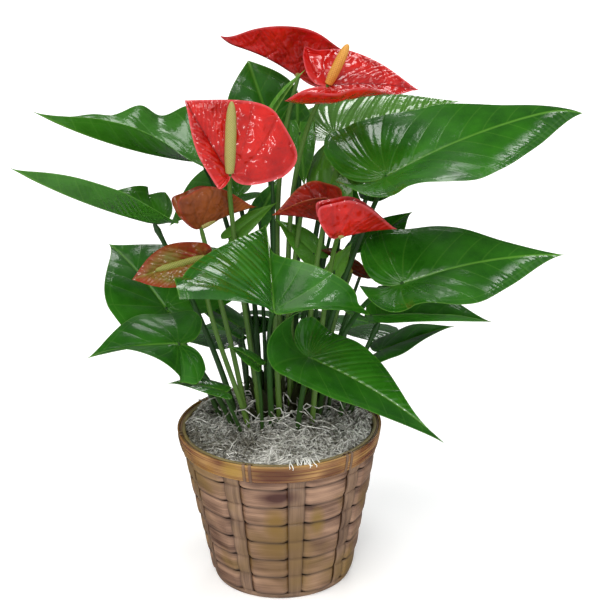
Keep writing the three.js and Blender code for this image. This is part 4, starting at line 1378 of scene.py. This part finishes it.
def makeMossMat():
    rings, sectors = moss["rings"], moss["sectors"]
    mat, column, row = addGrid(sectors, rings, "mossMat")
    a = column / sectors * 2 * math.pi
    r = (1 - row / rings) * moss["radius"]
    ruffle = 1.1 * np.sin(r * 0.9 + 7 * np.sin(a * 9)) * np.sin(a * 23)
    z = mossHeight(r, a) - 1.5 - 6 * ease((r - 66) / 10) + ruffle
    placeVertices(mat, np.c_[r * np.cos(a), r * np.sin(a), z])
    mergeDoubles(mat)
    applyModifier(mat, "SOLIDIFY", thickness=moss["thickness"] * mm, offset=-1)
    smoothShade(mat, 80)
    return mat


# One step on from a place along a heading, kept inside the rim.
def stepOn(place, heading, step, limit):
    place = place + Vector((math.cos(heading), math.sin(heading), 0)) * step
    return place * min(1, limit / place.length)


def threadPath(chance):
    count = moss["points"]
    r = moss["radius"] * math.sqrt(chance.random()) * 0.985
    a = chance.uniform(0, 2 * math.pi)
    place = Vector((r * math.cos(a), r * math.sin(a), 0))
    heading = chance.uniform(0, 2 * math.pi)
    lift = chance.uniform(*moss["low" if chance.random() < moss["lowShare"] else "high"])
    step = chance.uniform(*moss["length"]) / (count - 1)
    bend, drift = chance.gauss(0, moss["bend"]), chance.gauss(0, moss["drift"])
    wave, phase = chance.uniform(*moss["wave"]), chance.uniform(0, 6.28)
    points = []
    for k in range(count):
        reach = math.hypot(place.x, place.y)
        if reach > moss["radius"] - 2:
            heading = math.atan2(-place.y, -place.x) + chance.uniform(-0.7, 0.7)
        ground = float(mossHeight(reach, math.atan2(place.y, place.x))) - moss["sunk"]
        arch = lift * math.sin(math.pi * k / (count - 1))
        points.append((place.x, place.y, ground + arch + wave * math.sin(phase + k * 1.3)))
        heading += bend + drift * (k - count / 2)
        place = stepOn(place, heading, step, moss["radius"] + 2)
    return points


# A loose strand that climbs among the stems and comes down again.
def strayPath(chance):
    count = strays["points"]
    a, r = chance.uniform(0, 2 * math.pi), chance.uniform(*strays["foot"])
    place = Vector((r * math.cos(a), 8 + r * 0.8 * math.sin(a), 0))
    heading = chance.uniform(0, 2 * math.pi)
    rise = chance.uniform(*strays["rise"])
    step = chance.uniform(*strays["length"]) / (count - 1)
    bend = chance.gauss(0, strays["bend"])
    points = []
    for k in range(count):
        reach = math.hypot(place.x, place.y)
        if reach > moss["radius"] - 12:
            heading = math.atan2(-place.y, -place.x)
        ground = float(mossHeight(reach, math.atan2(place.y, place.x))) - strays["sunk"]
        arch = rise * math.sin(math.pi * k / (count - 1)) ** 0.8
        points.append((place.x, place.y, ground + arch + strays["wave"] * math.sin(k * 1.7 + a)))
        heading += bend + chance.gauss(0, strays["jitter"])
        place = stepOn(place, heading, step, moss["radius"] - 6)
    return points


# A strand of the bleached tuft that spills over the front of the rim.
def tuftPath(chance):
    azimuth = math.radians(chance.gauss(*tuft["azimuth"]))
    reach = chance.uniform(*tuft["reach"])
    drop = chance.uniform(*tuft["drop"])
    sway = chance.gauss(0, tuft["sway"])
    points = []
    for k in range(tuft["points"]):
        t = k / (tuft["points"] - 1)
        r = lerp(tuft["start"], reach, ease(t * 1.25))
        z = tuft["level"] + 2.6 * math.sin(min(1, t * 1.3) * math.pi) - drop * float(ease((t - 0.6) / 0.4))
        z += 0.5 * math.sin(k * 2.1 + azimuth * 300)
        turn = azimuth + sway * t + 0.006 * math.sin(k * 1.6 + drop)
        points.append((r * math.cos(turn), r * math.sin(turn), z - 3 * (1 - t) ** 3))
    return points


# Threads with a square section that thin out to both ends.
def makeThreads(name, paths, chance):
    widths = [chance.uniform(*moss["thick"]) * (1 - 0.55 * np.abs(np.linspace(-1, 1, len(path))) ** 3)
              for path in paths]
    return makeTubes(name, paths, widths, 0, False)


def makeMoss():
    chance = random.Random(moss["seed"])
    pieces = [("mossMat", makeMossMat())]
    for part in range(moss["pieces"]):
        paths = [threadPath(chance) for _ in range(moss["threads"])]
        if part == 0:
            paths += [strayPath(chance) for _ in range(strays["count"])]
        pieces.append(("mossThread", makeThreads(f"mossThreads{part}", paths, chance)))
    paths = [tuftPath(chance) for _ in range(tuft["count"])]
    pieces.append(("mossBleached", makeThreads("mossTuft", paths, chance)))
    for material, piece in pieces:
        giveMaterials(piece, mosses[material])
        finishPiece(piece, "moss")


makeMoss()
print("moss laid")


# The nursery pot and the root ball keep their CAD meshes.
for node, skin in (("nursery_pot", plasticMaterial("mouldedPot")), ("root_ball", compostMaterial("compost"))):
    bpy.data.objects[node].data.materials.clear()
    giveMaterials(bpy.data.objects[node], skin)


def addFloor():
    deselectAll()
    bpy.ops.mesh.primitive_plane_add(size=12)
    floor = bpy.context.object
    floor.name = "floor"
    material, tree, shader = newMaterial("paleFloor")[:3]
    pale = linear(studio["floor"])
    setInputs(tree, shader, {
        "Base Color": pale, "Emission Color": pale, "Emission Strength": studio["glow"], "Roughness": 0.9,
        "Specular IOR Level": 0.1})
    giveMaterials(floor, material)
    floor.visible_glossy = False


addFloor()
print("floor laid")
